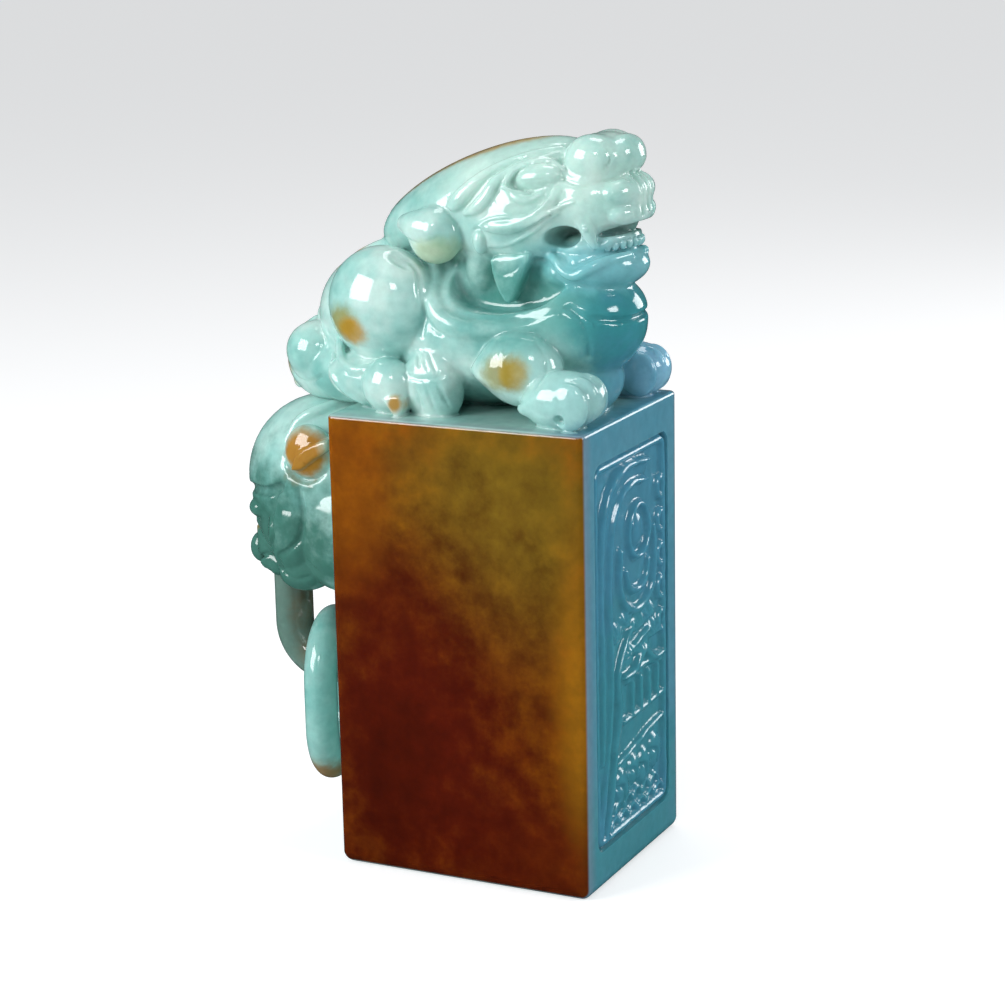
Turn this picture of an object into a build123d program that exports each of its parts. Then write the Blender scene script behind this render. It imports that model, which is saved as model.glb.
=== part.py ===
from build123d import *
import os

# A jade seal stamp with a crouching mythical beast as its grip. The origin is the middle of the
# printing face, +Z runs up the block, +X is the way the beast looks and -Y is its right side.
# All lengths are in millimetres and all angles in degrees.

# The block
block_width = 30.0
block_depth = 25.1
block_height = 50.8
block_upright_round = 0.8
block_top_round = 0.4
block_foot_round = 1.3

# The sunk panel on the face below the beast's chin, and the scene that stands in it
panel_width = 19.8
panel_height = 42.6
panel_rise = 4.4
panel_sink = 1.0
panel_corner = 1.6
relief_height = 0.8
relief_round = 0.2

# The beast's body
torso_length = 31.0
torso_width = 16.8
torso_height = 15.6
torso_x = -2.5
torso_rise = 7.8
belly_length = 26.0
belly_width = 14.0
rump_length = 17.4
rump_width = 15.2
rump_height = 15.0
rump_x = -13.3
rump_rise = 9.0
spine_width = 3.0
spine_proud = 0.55
chest_length = 16.4
chest_width = 15.4
chest_height = 14.8
chest_x = 8.2
chest_rise = 8.4
neck_length = 17.0
neck_width = 11.6
neck_height = 12.0
neck_x = 2.0
neck_rise = 14.4

# The beast's head
skull_length = 21.0
skull_width = 13.8
skull_height = 13.2
skull_x = 3.2
skull_rise = 21.2
skull_pitch = -14.0
crest_length = 27.1
crest_width = 12.6
crest_height = 9.4
crest_x = -1.3
crest_rise = 22.2
crest_pitch = -22.0
snout_length = 12.8
snout_width = 11.2
snout_height = 10.6
snout_x = 10.9
snout_rise = 22.6
nose_length = 8.2
nose_width = 9.0
nose_height = 5.5
nose_x = 12.8
nose_rise = 26.8
nostril_length = 4.6
nostril_width = 2.8
nostril_height = 3.9
jaw_length = 11.8
jaw_width = 10.6
jaw_height = 6.4
jaw_x = 11.0
jaw_rise = 15.5
mouth_depth = 10.2
mouth_height = 2.3
mouth_x = 7.5
mouth_rise = 18.9
tooth_length = 1.3
tooth_width = 1.2
tooth_height = 2.6
tooth_count = 5
tooth_step = 1.35
fang_width = 1.7
fang_point = 0.9
fang_x = 11.6
fang_y = 3.9
eye_length = 5.4
eye_width = 3.4
eye_height = 3.8
brow_length = 13.0
brow_width = 2.4
brow_height = 2.1
brow_pitch = -31.0
ear_length = 8.8
ear_width = 3.4
ear_height = 6.2
ear_pitch = -18.0
whisker_width = 2.0
whisker_height = 1.5
upper_whisker_length = 9.6
upper_whisker_pitch = -11.0
lower_whisker_length = 7.8
lower_whisker_pitch = -16.0
curl_size = 2.6
beard_length = 4.6
beard_width = 3.4
beard_height = 7.4
beard_pitch = 8.0
tuft_length = 5.2
tuft_width = 3.2
tuft_height = 4.8

# The beast's legs, feet and tail
haunch_length = 13.4
haunch_width = 9.6
haunch_height = 12.8
haunch_x = -11.8
haunch_y = 6.0
haunch_rise = 11.1
foreleg_length = 10.4
foreleg_width = 5.8
foreleg_height = 8.2
foreleg_x = 5.2
foreleg_y = 8.3
foreleg_rise = 5.3
foreleg_pitch = 22.0
front_paw_length = 8.0
front_paw_width = 6.0
front_paw_height = 5.8
front_paw_x = 11.2
hind_foot_length = 11.6
hind_foot_width = 5.8
hind_foot_height = 5.4
hind_foot_x = -8.6
paw_y = 9.0
foot_sink = 0.35
toe_count = 4
toe_length = 3.8
toe_width = 1.7
toe_height = 4.4
claw_length = 1.6
claw_width = 0.9
claw_height = 1.1
claw_sink = 0.15
tail_length = 10.6
tail_width = 9.6
tail_height = 9.8
tail_x = -20.9
tail_rise = 3.6
tail_lock_length = 6.8
tail_lock_width = 4.6
tail_lock_height = 7.6

# The rings that hang from the cub's mouth
ring_thickness = 4.2
ring_width = 4.8
ring_eye_width = 5.4
upper_ring_height = 21.6
lower_ring_thickness = 4.4
lower_ring_depth = 3.7
lower_ring_eye_width = 6.2
lower_ring_height = 20.2
lower_ring_twist = 14.0
ring_wall_gap = 0.6
ring_hang_gap = 0.3
bite_bar_size = 3.0
bite_bar_rise = 32.0

# The cub's head below the tail
cub_length = 21.6
cub_width = 16.4
cub_height = 19.0
cub_x = -21.4
cub_drop = 10.0
cub_mouth_side_gap = 0.7
cub_mouth_front_gap = 1.2
cub_mouth_top_gap = 0.6
cub_muzzle_length = 15.4
cub_muzzle_width = 14.4
cub_muzzle_height = 14.2
cub_muzzle_x = -24.0
cub_muzzle_drop = 15.2
cub_cheek_length = 11.6
cub_cheek_width = 5.6
cub_cheek_height = 12.8
cub_cheek_x = -19.6
cub_cheek_y = 5.0
cub_cheek_drop = 15.6
cub_jaw_length = 9.4
cub_jaw_width = 3.6
cub_jaw_height = 4.2
cub_jaw_x = -25.0
cub_jaw_y = 4.6
cub_jaw_drop = 20.2
cub_nose_size = 2.9
cub_brow_length = 3.8
cub_brow_width = 9.0
cub_brow_height = 3.6
cub_eye_length = 2.6
cub_eye_width = 2.8
cub_eye_height = 2.4
cub_ear_length = 6.4
cub_ear_width = 3.2
cub_ear_height = 6.0

# Where small forms sit on the form that carries them, as shares of half its length, width and height
eye_seat_shares = (0.33, 0.78, 0.57)
brow_seat_shares = (-0.04, 0.82, 0.56)
ear_seat_shares = (-0.80, 0.90, -0.34)
upper_whisker_seat_shares = (0.13, 0.95, -0.05)
lower_whisker_seat_shares = (0.15, 0.95, -0.29)
curl_seat_shares = (-0.24, 0.92, -0.36)
beard_seat_shares = (0.02, 0.80, -1.04)
tuft_seat_shares = (0.44, 0.72, -0.98)
nostril_seat_shares = (-0.12, 0.86, -0.06)
tail_lock_seat_shares = (-0.26, 0.68, -0.04)
cub_nose_seat_shares = (-1.00, 0.00, -0.54)
cub_brow_seat_shares = (-0.87, 0.00, -0.04)
cub_eye_seat_shares = (-0.76, 0.56, -0.10)
cub_ear_seat_shares = (0.05, 0.84, 0.40)
toe_reach_share = 0.62
claw_reach_share = 0.66

# How a ball is turned to lay its poles along a form's height, width or length
along_height = (0, 0, 0)
along_width = (90, 0, 0)
along_length = (0, 90, 0)


def half_sizes(size):
    """Half of each side of a form, as a scale for a ball of radius one."""
    return tuple(side / 2 for side in size)


def egg(size, middle, pitch=0.0, poles=along_height):
    """A smooth rounded form of a length, width and height, tipped nose-down by its pitch."""
    with BuildPart() as form:
        Sphere(radius=1, rotation=poles)
        scale(by=half_sizes(size))
    return Location(middle, (0, pitch, 0)) * form.part


def seat(middle, size, shares, side=1):
    """The point that lies at the given shares of half a form's size from its middle."""
    x, y, z = (share * half for share, half in zip(shares, half_sizes(size)))
    return (middle[0] + x, middle[1] + side * y, middle[2] + z)


def cut_back(piece, *larger):
    """Take the stone of larger pieces out of the piece in hand, and keep its main solid."""
    for neighbour in larger:
        add(neighbour, mode=Mode.SUBTRACT)
    add(piece.solids().sort_by(SortBy.VOLUME)[-1], mode=Mode.REPLACE)


def finish(piece, name):
    """Name a finished piece and write it."""
    piece.part.label = name
    export_step(piece.part, f"parts/{name}.step")


os.makedirs("parts", exist_ok=True)
sides = {"right": -1, "left": 1}

# The block, with its worn foot, its crisp top edge and the sunk panel
panel_plane = Plane(origin=(block_width / 2, 0, panel_rise), x_dir=(0, 1, 0), z_dir=(1, 0, 0))
with BuildPart() as seal_block:
    with BuildSketch():
        RectangleRounded(block_width, block_depth, block_upright_round)
    extrude(amount=block_height)
    fillet(seal_block.faces().sort_by(Axis.Z)[0].edges(), radius=block_foot_round)
    fillet(seal_block.faces().sort_by(Axis.Z)[-1].edges(), radius=block_top_round)
    with BuildSketch(panel_plane):
        with Locations((0, panel_height / 2)):
            RectangleRounded(panel_width, panel_height, panel_corner)
    extrude(amount=-panel_sink, mode=Mode.SUBTRACT)
finish(seal_block, "seal_block")
block = seal_block.part

# The landscape in the panel, drawn in shares of the panel's width from its middle and of its height
cliff_shares = (
    (-0.48, 0.02), (0.10, 0.02), (0.04, 0.07), (-0.08, 0.10), (-0.12, 0.20), (-0.24, 0.24),
    (-0.26, 0.36), (-0.34, 0.40), (-0.32, 0.58), (-0.40, 0.66), (-0.38, 0.84), (-0.48, 0.94),
)
cloud_shares = (
    (-0.14, 0.86, 0.16, 0.028), (0.06, 0.90, 0.18, 0.034), (0.24, 0.85, 0.15, 0.028),
    (0.02, 0.80, 0.14, 0.024), (0.30, 0.74, 0.12, 0.022),
)
pine_crown_shares = (
    (0.02, 0.66, 0.17, 0.036), (0.18, 0.60, 0.16, 0.034), (-0.10, 0.57, 0.14, 0.032),
    (0.16, 0.50, 0.16, 0.034), (-0.06, 0.46, 0.13, 0.028),
)
pine_trunk_shares = ((0.02, 0.34), (0.10, 0.34), (0.07, 0.44), (0.12, 0.52), (0.05, 0.66), (0.01, 0.46))
pavilion_x_share = 0.24
pavilion_rise_share = 0.13
pavilion_base_width = 7.4
pavilion_base_height = 1.2
pavilion_column_width = 0.8
pavilion_column_height = 3.6
pavilion_column_gap = 1.5
pavilion_column_count = 4
pavilion_roof_width = 8.6
pavilion_eaves_height = 0.7
pavilion_roof_rise = 2.8
pavilion_ridge_width = 1.6
relief_floor = panel_plane.offset(-panel_sink)


def on_panel(shares):
    """The place on the panel's floor of a pair of shares."""
    return (shares[0] * panel_width, shares[1] * panel_height)


with BuildPart() as relief_cliffs:
    with BuildSketch(relief_floor):
        with BuildLine():
            Polyline(*[on_panel(point) for point in cliff_shares], close=True)
        make_face()
    extrude(amount=relief_height)
    fillet(relief_cliffs.faces().sort_by(Axis.X)[-1].edges(), radius=relief_round)
finish(relief_cliffs, "relief_cliffs")

with BuildPart() as relief_clouds:
    with BuildSketch(relief_floor):
        for across, up, half_length, half_height in cloud_shares:
            with Locations(on_panel((across, up))):
                Ellipse(half_length * panel_width, half_height * panel_height)
    extrude(amount=relief_height)
finish(relief_clouds, "relief_clouds")

with BuildPart() as relief_pine:
    with BuildSketch(relief_floor):
        for across, up, half_length, half_height in pine_crown_shares:
            with Locations(on_panel((across, up))):
                Ellipse(half_length * panel_width, half_height * panel_height)
        with BuildLine():
            Polyline(*[on_panel(point) for point in pine_trunk_shares], close=True)
        make_face()
    extrude(amount=relief_height)
finish(relief_pine, "relief_pine")

pavilion_x, pavilion_y = on_panel((pavilion_x_share, pavilion_rise_share))
pavilion_eaves_rise = pavilion_y + pavilion_base_height + pavilion_column_height
pavilion_roof_foot = pavilion_eaves_rise + pavilion_eaves_height
with BuildPart() as relief_pavilion:
    with BuildSketch(relief_floor):
        with Locations((pavilion_x, pavilion_y + pavilion_base_height / 2)):
            Rectangle(pavilion_base_width, pavilion_base_height)
        with Locations((pavilion_x, pavilion_y + pavilion_base_height + pavilion_column_height / 2)):
            with GridLocations(pavilion_column_gap + pavilion_column_width, 0, pavilion_column_count, 1):
                Rectangle(pavilion_column_width, pavilion_column_height)
        with Locations((pavilion_x, pavilion_eaves_rise + pavilion_eaves_height / 2)):
            Rectangle(pavilion_roof_width, pavilion_eaves_height)
        with BuildLine():
            Polyline(
                (pavilion_x - pavilion_roof_width / 2, pavilion_roof_foot),
                (pavilion_x + pavilion_roof_width / 2, pavilion_roof_foot),
                (pavilion_x + pavilion_ridge_width / 2, pavilion_roof_foot + pavilion_roof_rise),
                (pavilion_x - pavilion_ridge_width / 2, pavilion_roof_foot + pavilion_roof_rise),
                close=True,
            )
        make_face()
    extrude(amount=relief_height)
finish(relief_pavilion, "relief_pavilion")


def on_block(x, y, rise):
    """A place at a height above the block's top."""
    return (x, y, block_height + rise)


# The beast's body, each form cut back by the larger ones so that they meet face to face
torso_size = (torso_length, torso_width, torso_height)
torso_middle = on_block(torso_x, 0, torso_rise)
torso_form = egg(torso_size, torso_middle)
with BuildPart() as beast_torso:
    add(torso_form)
    with BuildSketch(Plane.XY.offset(block_height)):
        with Locations((torso_x, 0)):
            Ellipse(belly_length / 2, belly_width / 2)
    extrude(amount=torso_rise)
    cut_back(beast_torso, block)
finish(beast_torso, "beast_torso")
torso = beast_torso.part

chest_size = (chest_length, chest_width, chest_height)
chest_middle = on_block(chest_x, 0, chest_rise)
chest_form = egg(chest_size, chest_middle)
with BuildPart() as beast_chest:
    add(chest_form)
    cut_back(beast_chest, torso)
finish(beast_chest, "beast_chest")
chest = beast_chest.part

rump_size = (rump_length, rump_width, rump_height)
rump_middle = on_block(rump_x, 0, rump_rise)
rump_form = egg(rump_size, rump_middle)
with BuildPart() as beast_rump:
    add(rump_form)
    cut_back(beast_rump, torso)
finish(beast_rump, "beast_rump")
rump = beast_rump.part

skull_size = (skull_length, skull_width, skull_height)
skull_middle = on_block(skull_x, 0, skull_rise)
skull_form = egg(skull_size, skull_middle, skull_pitch)
mouth_middle_x = mouth_x + mouth_depth / 2
with BuildPart() as mouth_gap:
    with BuildSketch(Plane.XZ):
        with Locations((mouth_middle_x, block_height + mouth_rise)):
            SlotOverall(mouth_depth, mouth_height)
    extrude(amount=skull_width, both=True)
mouth = mouth_gap.part
with BuildPart() as beast_skull:
    add(skull_form)
    cut_back(beast_skull, torso, chest, rump, mouth)
finish(beast_skull, "beast_skull")
skull = beast_skull.part

neck_size = (neck_length, neck_width, neck_height)
neck_form = egg(neck_size, on_block(neck_x, 0, neck_rise))
with BuildPart() as beast_neck:
    add(neck_form)
    cut_back(beast_neck, torso, chest, rump, skull, mouth)
finish(beast_neck, "beast_neck")
neck = beast_neck.part

crest_size = (crest_length, crest_width, crest_height)
crest_form = egg(crest_size, on_block(crest_x, 0, crest_rise), crest_pitch)
with BuildPart() as beast_horn_crest:
    add(crest_form)
    cut_back(beast_horn_crest, skull, rump, torso, neck)
finish(beast_horn_crest, "beast_horn_crest")
crest = beast_horn_crest.part

snout_size = (snout_length, snout_width, snout_height)
snout_middle = on_block(snout_x, 0, snout_rise)
snout_form = egg(snout_size, snout_middle)
with BuildPart() as beast_snout:
    add(snout_form)
    cut_back(beast_snout, skull, crest, mouth)
finish(beast_snout, "beast_snout")
snout = beast_snout.part

nose_size = (nose_length, nose_width, nose_height)
nose_middle = on_block(nose_x, 0, nose_rise)
nose_form = egg(nose_size, nose_middle)
nostril_size = (nostril_length, nostril_width, nostril_height)
nostril_forms = [egg(nostril_size, seat(nose_middle, nose_size, nostril_seat_shares, s), 0, along_width) for s in sides.values()]
with BuildPart() as beast_nose:
    add(nose_form)
    add(nostril_forms)
    cut_back(beast_nose, skull, snout, crest)
finish(beast_nose, "beast_nose")
nose = beast_nose.part

jaw_size = (jaw_length, jaw_width, jaw_height)
jaw_form = egg(jaw_size, on_block(jaw_x, 0, jaw_rise))
with BuildPart() as beast_lower_jaw:
    add(jaw_form)
    cut_back(beast_lower_jaw, chest, skull, neck, mouth)
finish(beast_lower_jaw, "beast_lower_jaw")
jaw = beast_lower_jaw.part

tooth_size = (tooth_length, tooth_width, tooth_height)
tooth_row_x = jaw_x + jaw_length / 2 - tooth_length
tooth_row_z = block_height + mouth_rise - mouth_height / 2
tooth_form = egg(tooth_size, (tooth_row_x, 0, tooth_row_z))
with BuildPart() as beast_teeth:
    with GridLocations(0, tooth_step, 1, tooth_count):
        add(tooth_form)
    add(jaw, mode=Mode.SUBTRACT)
finish(beast_teeth, "beast_teeth")

ears = {}
for side_name, side in sides.items():
    fang_plane = Plane(origin=(fang_x, side * fang_y, block_height + mouth_rise + mouth_height / 2))
    with BuildPart() as fang:
        with BuildSketch(fang_plane):
            Circle(fang_width / 2)
        with BuildSketch(fang_plane.offset(-mouth_height)):
            Circle(fang_point / 2)
        loft()
        cut_back(fang, jaw, snout, skull)
    finish(fang, f"beast_fang_{side_name}")

    ear_middle = seat(skull_middle, skull_size, ear_seat_shares, side)
    ear_form = egg((ear_length, ear_width, ear_height), ear_middle, ear_pitch, along_width)
    with BuildPart() as ear:
        add(ear_form)
        cut_back(ear, skull, crest, rump, torso, neck)
    finish(ear, f"beast_ear_{side_name}")
    ears[side_name] = ear.part

    eye_middle = seat(skull_middle, skull_size, eye_seat_shares, side)
    eye_form = egg((eye_length, eye_width, eye_height), eye_middle, 0, along_width)
    with BuildPart() as eye:
        add(eye_form)
        cut_back(eye, skull, crest, snout, nose)
    finish(eye, f"beast_eye_{side_name}")

    brow_middle = seat(skull_middle, skull_size, brow_seat_shares, side)
    brow_form = egg((brow_length, brow_width, brow_height), brow_middle, brow_pitch, along_width)
    with BuildPart() as brow:
        add(brow_form)
        cut_back(brow, skull, crest, snout, nose, eye.part, ear.part)
    finish(brow, f"beast_brow_{side_name}")

    upper_whisker_middle = seat(skull_middle, skull_size, upper_whisker_seat_shares, side)
    lower_whisker_middle = seat(skull_middle, skull_size, lower_whisker_seat_shares, side)
    curl_middle = seat(skull_middle, skull_size, curl_seat_shares, side)
    upper_whisker_size = (upper_whisker_length, whisker_width, whisker_height)
    lower_whisker_size = (lower_whisker_length, whisker_width, whisker_height)
    whisker_forms = [
        egg(upper_whisker_size, upper_whisker_middle, upper_whisker_pitch, along_width),
        egg(lower_whisker_size, lower_whisker_middle, lower_whisker_pitch, along_width),
        egg((curl_size, curl_size, curl_size), curl_middle, 0, along_width),
    ]
    with BuildPart() as whiskers:
        add(whisker_forms)
        cut_back(whiskers, skull, snout, crest, ear.part, eye.part)
    finish(whiskers, f"beast_whiskers_{side_name}")

    beard_middle = seat(skull_middle, skull_size, beard_seat_shares, side)
    tuft_middle = seat(skull_middle, skull_size, tuft_seat_shares, side)
    beard_forms = [
        egg((beard_length, beard_width, beard_height), beard_middle, beard_pitch, along_width),
        egg((tuft_length, tuft_width, tuft_height), tuft_middle, 0, along_width),
    ]
    with BuildPart() as beard:
        add(beard_forms)
        cut_back(beard, torso, chest, skull, neck, jaw, mouth, whiskers.part)
    finish(beard, f"beast_beard_{side_name}")

# The beast's legs and feet
haunches = {}
for side_name, side in sides.items():
    haunch_middle = on_block(haunch_x, side * haunch_y, haunch_rise)
    haunch_form = egg((haunch_length, haunch_width, haunch_height), haunch_middle, 0, along_width)
    with BuildPart() as haunch:
        add(haunch_form)
        cut_back(haunch, torso, rump, crest, ears[side_name])
    finish(haunch, f"beast_haunch_{side_name}")
    haunches[side_name] = haunch.part

    foreleg_middle = on_block(foreleg_x, side * foreleg_y, foreleg_rise)
    foreleg_form = egg((foreleg_length, foreleg_width, foreleg_height), foreleg_middle, foreleg_pitch, along_width)
    with BuildPart() as foreleg:
        add(foreleg_form)
        cut_back(foreleg, block, torso, chest)
    finish(foreleg, f"beast_foreleg_{side_name}")

    front_paw_size = (front_paw_length, front_paw_width, front_paw_height)
    hind_foot_size = (hind_foot_length, hind_foot_width, hind_foot_height)
    feet = {
        "front": (front_paw_size, front_paw_x, (block, torso, chest, foreleg.part)),
        "hind": (hind_foot_size, hind_foot_x, (block, torso, haunch.part)),
    }
    for foot_name, (foot_size, foot_x, carriers) in feet.items():
        foot_middle = on_block(foot_x, side * paw_y, foot_size[2] / 2 - foot_sink)
        toe_x = foot_x + toe_reach_share * foot_size[0] / 2
        claw_x = toe_x + claw_reach_share * toe_length / 2
        toe_step = (foot_size[1] - toe_width) / (toe_count - 1)
        foot_form = egg(foot_size, foot_middle)
        toe_middle = on_block(toe_x, side * paw_y, toe_height / 2 - foot_sink)
        toe_form = egg((toe_length, toe_width, toe_height), toe_middle)
        claw_middle = on_block(claw_x, side * paw_y, claw_height / 2 - claw_sink)
        claw_form = egg((claw_length, claw_width, claw_height), claw_middle)
        with BuildPart() as foot:
            add(foot_form)
            with GridLocations(0, toe_step, 1, toe_count):
                add(toe_form)
            cut_back(foot, *carriers)
        finish(foot, f"beast_{foot_name}_foot_{side_name}")
        with BuildPart() as claws:
            with GridLocations(0, toe_step, 1, toe_count):
                add(claw_form)
            add([foot.part, block, torso], mode=Mode.SUBTRACT)
        finish(claws, f"beast_{foot_name}_claws_{side_name}")

# The tail, which lies over the edge of the block
tail_size = (tail_length, tail_width, tail_height)
tail_middle = on_block(tail_x, 0, tail_rise)
tail_form = egg(tail_size, tail_middle)
with BuildPart() as beast_tail:
    add(tail_form)
    cut_back(beast_tail, block, torso, rump, *haunches.values())
finish(beast_tail, "beast_tail")
tail = beast_tail.part

tail_locks = []
for side_name, side in sides.items():
    tail_lock_size = (tail_lock_length, tail_lock_width, tail_lock_height)
    tail_lock_middle = seat(tail_middle, tail_size, tail_lock_seat_shares, side)
    tail_lock_form = egg(tail_lock_size, tail_lock_middle, 0, along_width)
    with BuildPart() as tail_lock:
        add(tail_lock_form)
        cut_back(tail_lock, block, rump, tail, haunches[side_name])
    finish(tail_lock, f"beast_tail_lock_{side_name}")
    tail_locks.append(tail_lock.part)

spine_size = (rump_length + 2 * spine_proud, spine_width, rump_height + 2 * spine_proud)
spine_form = egg(spine_size, rump_middle)
with BuildPart() as beast_spine:
    add(spine_form)
    cut_back(beast_spine, block, torso, rump, tail, crest, skull, neck, *tail_locks)
finish(beast_spine, "beast_spine")

# The rings: the upper one stands square to the block's face and the lower one is turned nearly along it
upper_ring_width = ring_eye_width + 2 * ring_thickness
ring_x = -(block_width / 2 + ring_wall_gap + upper_ring_width / 2)
bite_bar_radius = bite_bar_size / 2
upper_ring_top = bite_bar_rise + bite_bar_radius + ring_hang_gap + ring_thickness
upper_ring_bottom = upper_ring_top - upper_ring_height
upper_limb_top = upper_ring_bottom + ring_thickness
lower_ring_top = upper_limb_top + ring_hang_gap + lower_ring_thickness
lower_ring_bottom = lower_ring_top - lower_ring_height


def loose_ring(plane, eye_width, thickness, width, height):
    """A long closed link that stands on the plane's origin, with an oval section all round."""
    bend = (eye_width + thickness) / 2
    low = thickness / 2 + bend
    high = height - low
    with BuildPart() as link:
        with BuildLine(plane):
            start = Line((bend, low), (bend, high))
            RadiusArc(start @ 1, (-bend, high), -bend)
            Line((-bend, high), (-bend, low))
            RadiusArc((-bend, low), start @ 0, -bend)
        with BuildSketch(Plane(origin=start @ 0, x_dir=plane.x_dir, z_dir=plane.y_dir)):
            Ellipse(thickness / 2, width / 2)
        sweep()
    return link


upper_plane = Plane(origin=(ring_x, 0, upper_ring_bottom), x_dir=(1, 0, 0), z_dir=(0, -1, 0))
upper_ring = loose_ring(upper_plane, ring_eye_width, ring_thickness, ring_width, upper_ring_height)
finish(upper_ring, "upper_ring")

along_face = Vector(0, 1, 0).rotate(Axis.Z, lower_ring_twist)
off_face = Vector(1, 0, 0).rotate(Axis.Z, lower_ring_twist)
lower_plane = Plane(origin=(ring_x, 0, lower_ring_bottom), x_dir=along_face, z_dir=off_face)
lower_ring = loose_ring(
    lower_plane, lower_ring_eye_width, lower_ring_thickness, lower_ring_depth, lower_ring_height
)
finish(lower_ring, "lower_ring")

# The cub's mouth, hollowed out for the upper ring and open below
cub_mouth_half = ring_width / 2 + cub_mouth_side_gap
cub_mouth_front = ring_x - upper_ring_width / 2 - cub_mouth_front_gap
cub_mouth_roof = upper_ring_top + cub_mouth_top_gap
cub_middle = on_block(cub_x, 0, -cub_drop)
cub_size = (cub_length, cub_width, cub_height)
mouth_room_depth = -block_width / 2 - cub_mouth_front
with BuildPart() as cub_mouth_room:
    with Locations((cub_mouth_front, 0, cub_mouth_roof)):
        Box(
            mouth_room_depth, 2 * cub_mouth_half, cub_mouth_roof,
            align=(Align.MIN, Align.CENTER, Align.MAX),
        )
mouth_room = cub_mouth_room.part
roof_plane = Plane.XY.offset(cub_mouth_roof)
lip_plane = Plane(origin=(cub_mouth_front, 0, 0), z_dir=(1, 0, 0))

cub_form = egg(cub_size, cub_middle)
with BuildPart() as cub_head:
    add(cub_form)
    split(bisect_by=roof_plane, keep=Keep.TOP)
    cut_back(cub_head, block, tail, *tail_locks)
finish(cub_head, "cub_head")
head = cub_head.part

cub_muzzle_size = (cub_muzzle_length, cub_muzzle_width, cub_muzzle_height)
cub_muzzle_middle = on_block(cub_muzzle_x, 0, -cub_muzzle_drop)
cub_muzzle_form = egg(cub_muzzle_size, cub_muzzle_middle)
with BuildPart() as cub_upper_lip:
    add(cub_muzzle_form)
    split(bisect_by=lip_plane, keep=Keep.BOTTOM)
    split(bisect_by=roof_plane, keep=Keep.BOTTOM)
finish(cub_upper_lip, "cub_upper_lip")
lip = cub_upper_lip.part

jowls = {}
for side_name, side in sides.items():
    jowl_plane = Plane(origin=(0, side * cub_mouth_half, 0), z_dir=(0, side, 0))
    with BuildPart() as jowl:
        add(cub_muzzle_form)
        split(bisect_by=jowl_plane, keep=Keep.TOP)
        split(bisect_by=lip_plane, keep=Keep.TOP)
        split(bisect_by=roof_plane, keep=Keep.BOTTOM)
        cut_back(jowl, block)
    finish(jowl, f"cub_jowl_{side_name}")
    jowls[side_name] = jowl.part

    cheek_size = (cub_cheek_length, cub_cheek_width, cub_cheek_height)
    cheek_middle = on_block(cub_cheek_x, side * cub_cheek_y, -cub_cheek_drop)
    cheek_form = egg(cheek_size, cheek_middle, 0, along_width)
    with BuildPart() as cheek:
        add(cheek_form)
        cut_back(cheek, block, head, mouth_room, jowl.part)
    finish(cheek, f"cub_cheek_{side_name}")

    cub_jaw_size = (cub_jaw_length, cub_jaw_width, cub_jaw_height)
    cub_jaw_middle = on_block(cub_jaw_x, side * cub_jaw_y, -cub_jaw_drop)
    cub_jaw_form = egg(cub_jaw_size, cub_jaw_middle, 0, along_width)
    with BuildPart() as cub_jaw:
        add(cub_jaw_form)
        cut_back(cub_jaw, block, mouth_room, jowl.part, cheek.part, lip)
    finish(cub_jaw, f"cub_jaw_{side_name}")

    cub_ear_middle = seat(cub_middle, cub_size, cub_ear_seat_shares, side)
    cub_ear_form = egg((cub_ear_length, cub_ear_width, cub_ear_height), cub_ear_middle, 0, along_width)
    with BuildPart() as cub_ear:
        add(cub_ear_form)
        cut_back(cub_ear, block, head, cheek.part, jowl.part)
    finish(cub_ear, f"cub_ear_{side_name}")

cub_nose_middle = seat(cub_muzzle_middle, cub_muzzle_size, cub_nose_seat_shares)
cub_nose_form = egg((cub_nose_size, cub_nose_size, cub_nose_size), cub_nose_middle, 0, along_length)
with BuildPart() as cub_nose:
    add(cub_nose_form)
    cut_back(cub_nose, lip, *jowls.values())
finish(cub_nose, "cub_nose")

cub_brow_middle = seat(cub_middle, cub_size, cub_brow_seat_shares)
cub_brow_form = egg((cub_brow_length, cub_brow_width, cub_brow_height), cub_brow_middle)
with BuildPart() as cub_brow:
    add(cub_brow_form)
    cut_back(cub_brow, head, lip, mouth_room, *jowls.values())
finish(cub_brow, "cub_brow")

for side_name, side in sides.items():
    cub_eye_middle = seat(cub_middle, cub_size, cub_eye_seat_shares, side)
    cub_eye_form = egg((cub_eye_length, cub_eye_width, cub_eye_height), cub_eye_middle, 0, along_width)
    with BuildPart() as cub_eye:
        add(cub_eye_form)
        cut_back(cub_eye, head, lip, jowls[side_name], cub_brow.part)
    finish(cub_eye, f"cub_eye_{side_name}")

with BuildPart() as cub_bite_bar:
    with BuildSketch(Plane(origin=(ring_x, 0, bite_bar_rise), z_dir=(0, 1, 0))):
        Circle(bite_bar_radius)
    extrude(amount=cub_mouth_half, both=True)
finish(cub_bite_bar, "cub_bite_bar")
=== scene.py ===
"""Jadeite seal stamp: a crouching beast on a seal block, and a cub holding two loose rings.

Lengths in the drawings of the carving are millimetres: x along the beast's length, y out from its
middle, z up. The beast and the cub are drawn from the block's top, where z is 0.
"""

import math

import bpy
import numpy as np
import openvdb
from mathutils import Matrix, Vector


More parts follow.
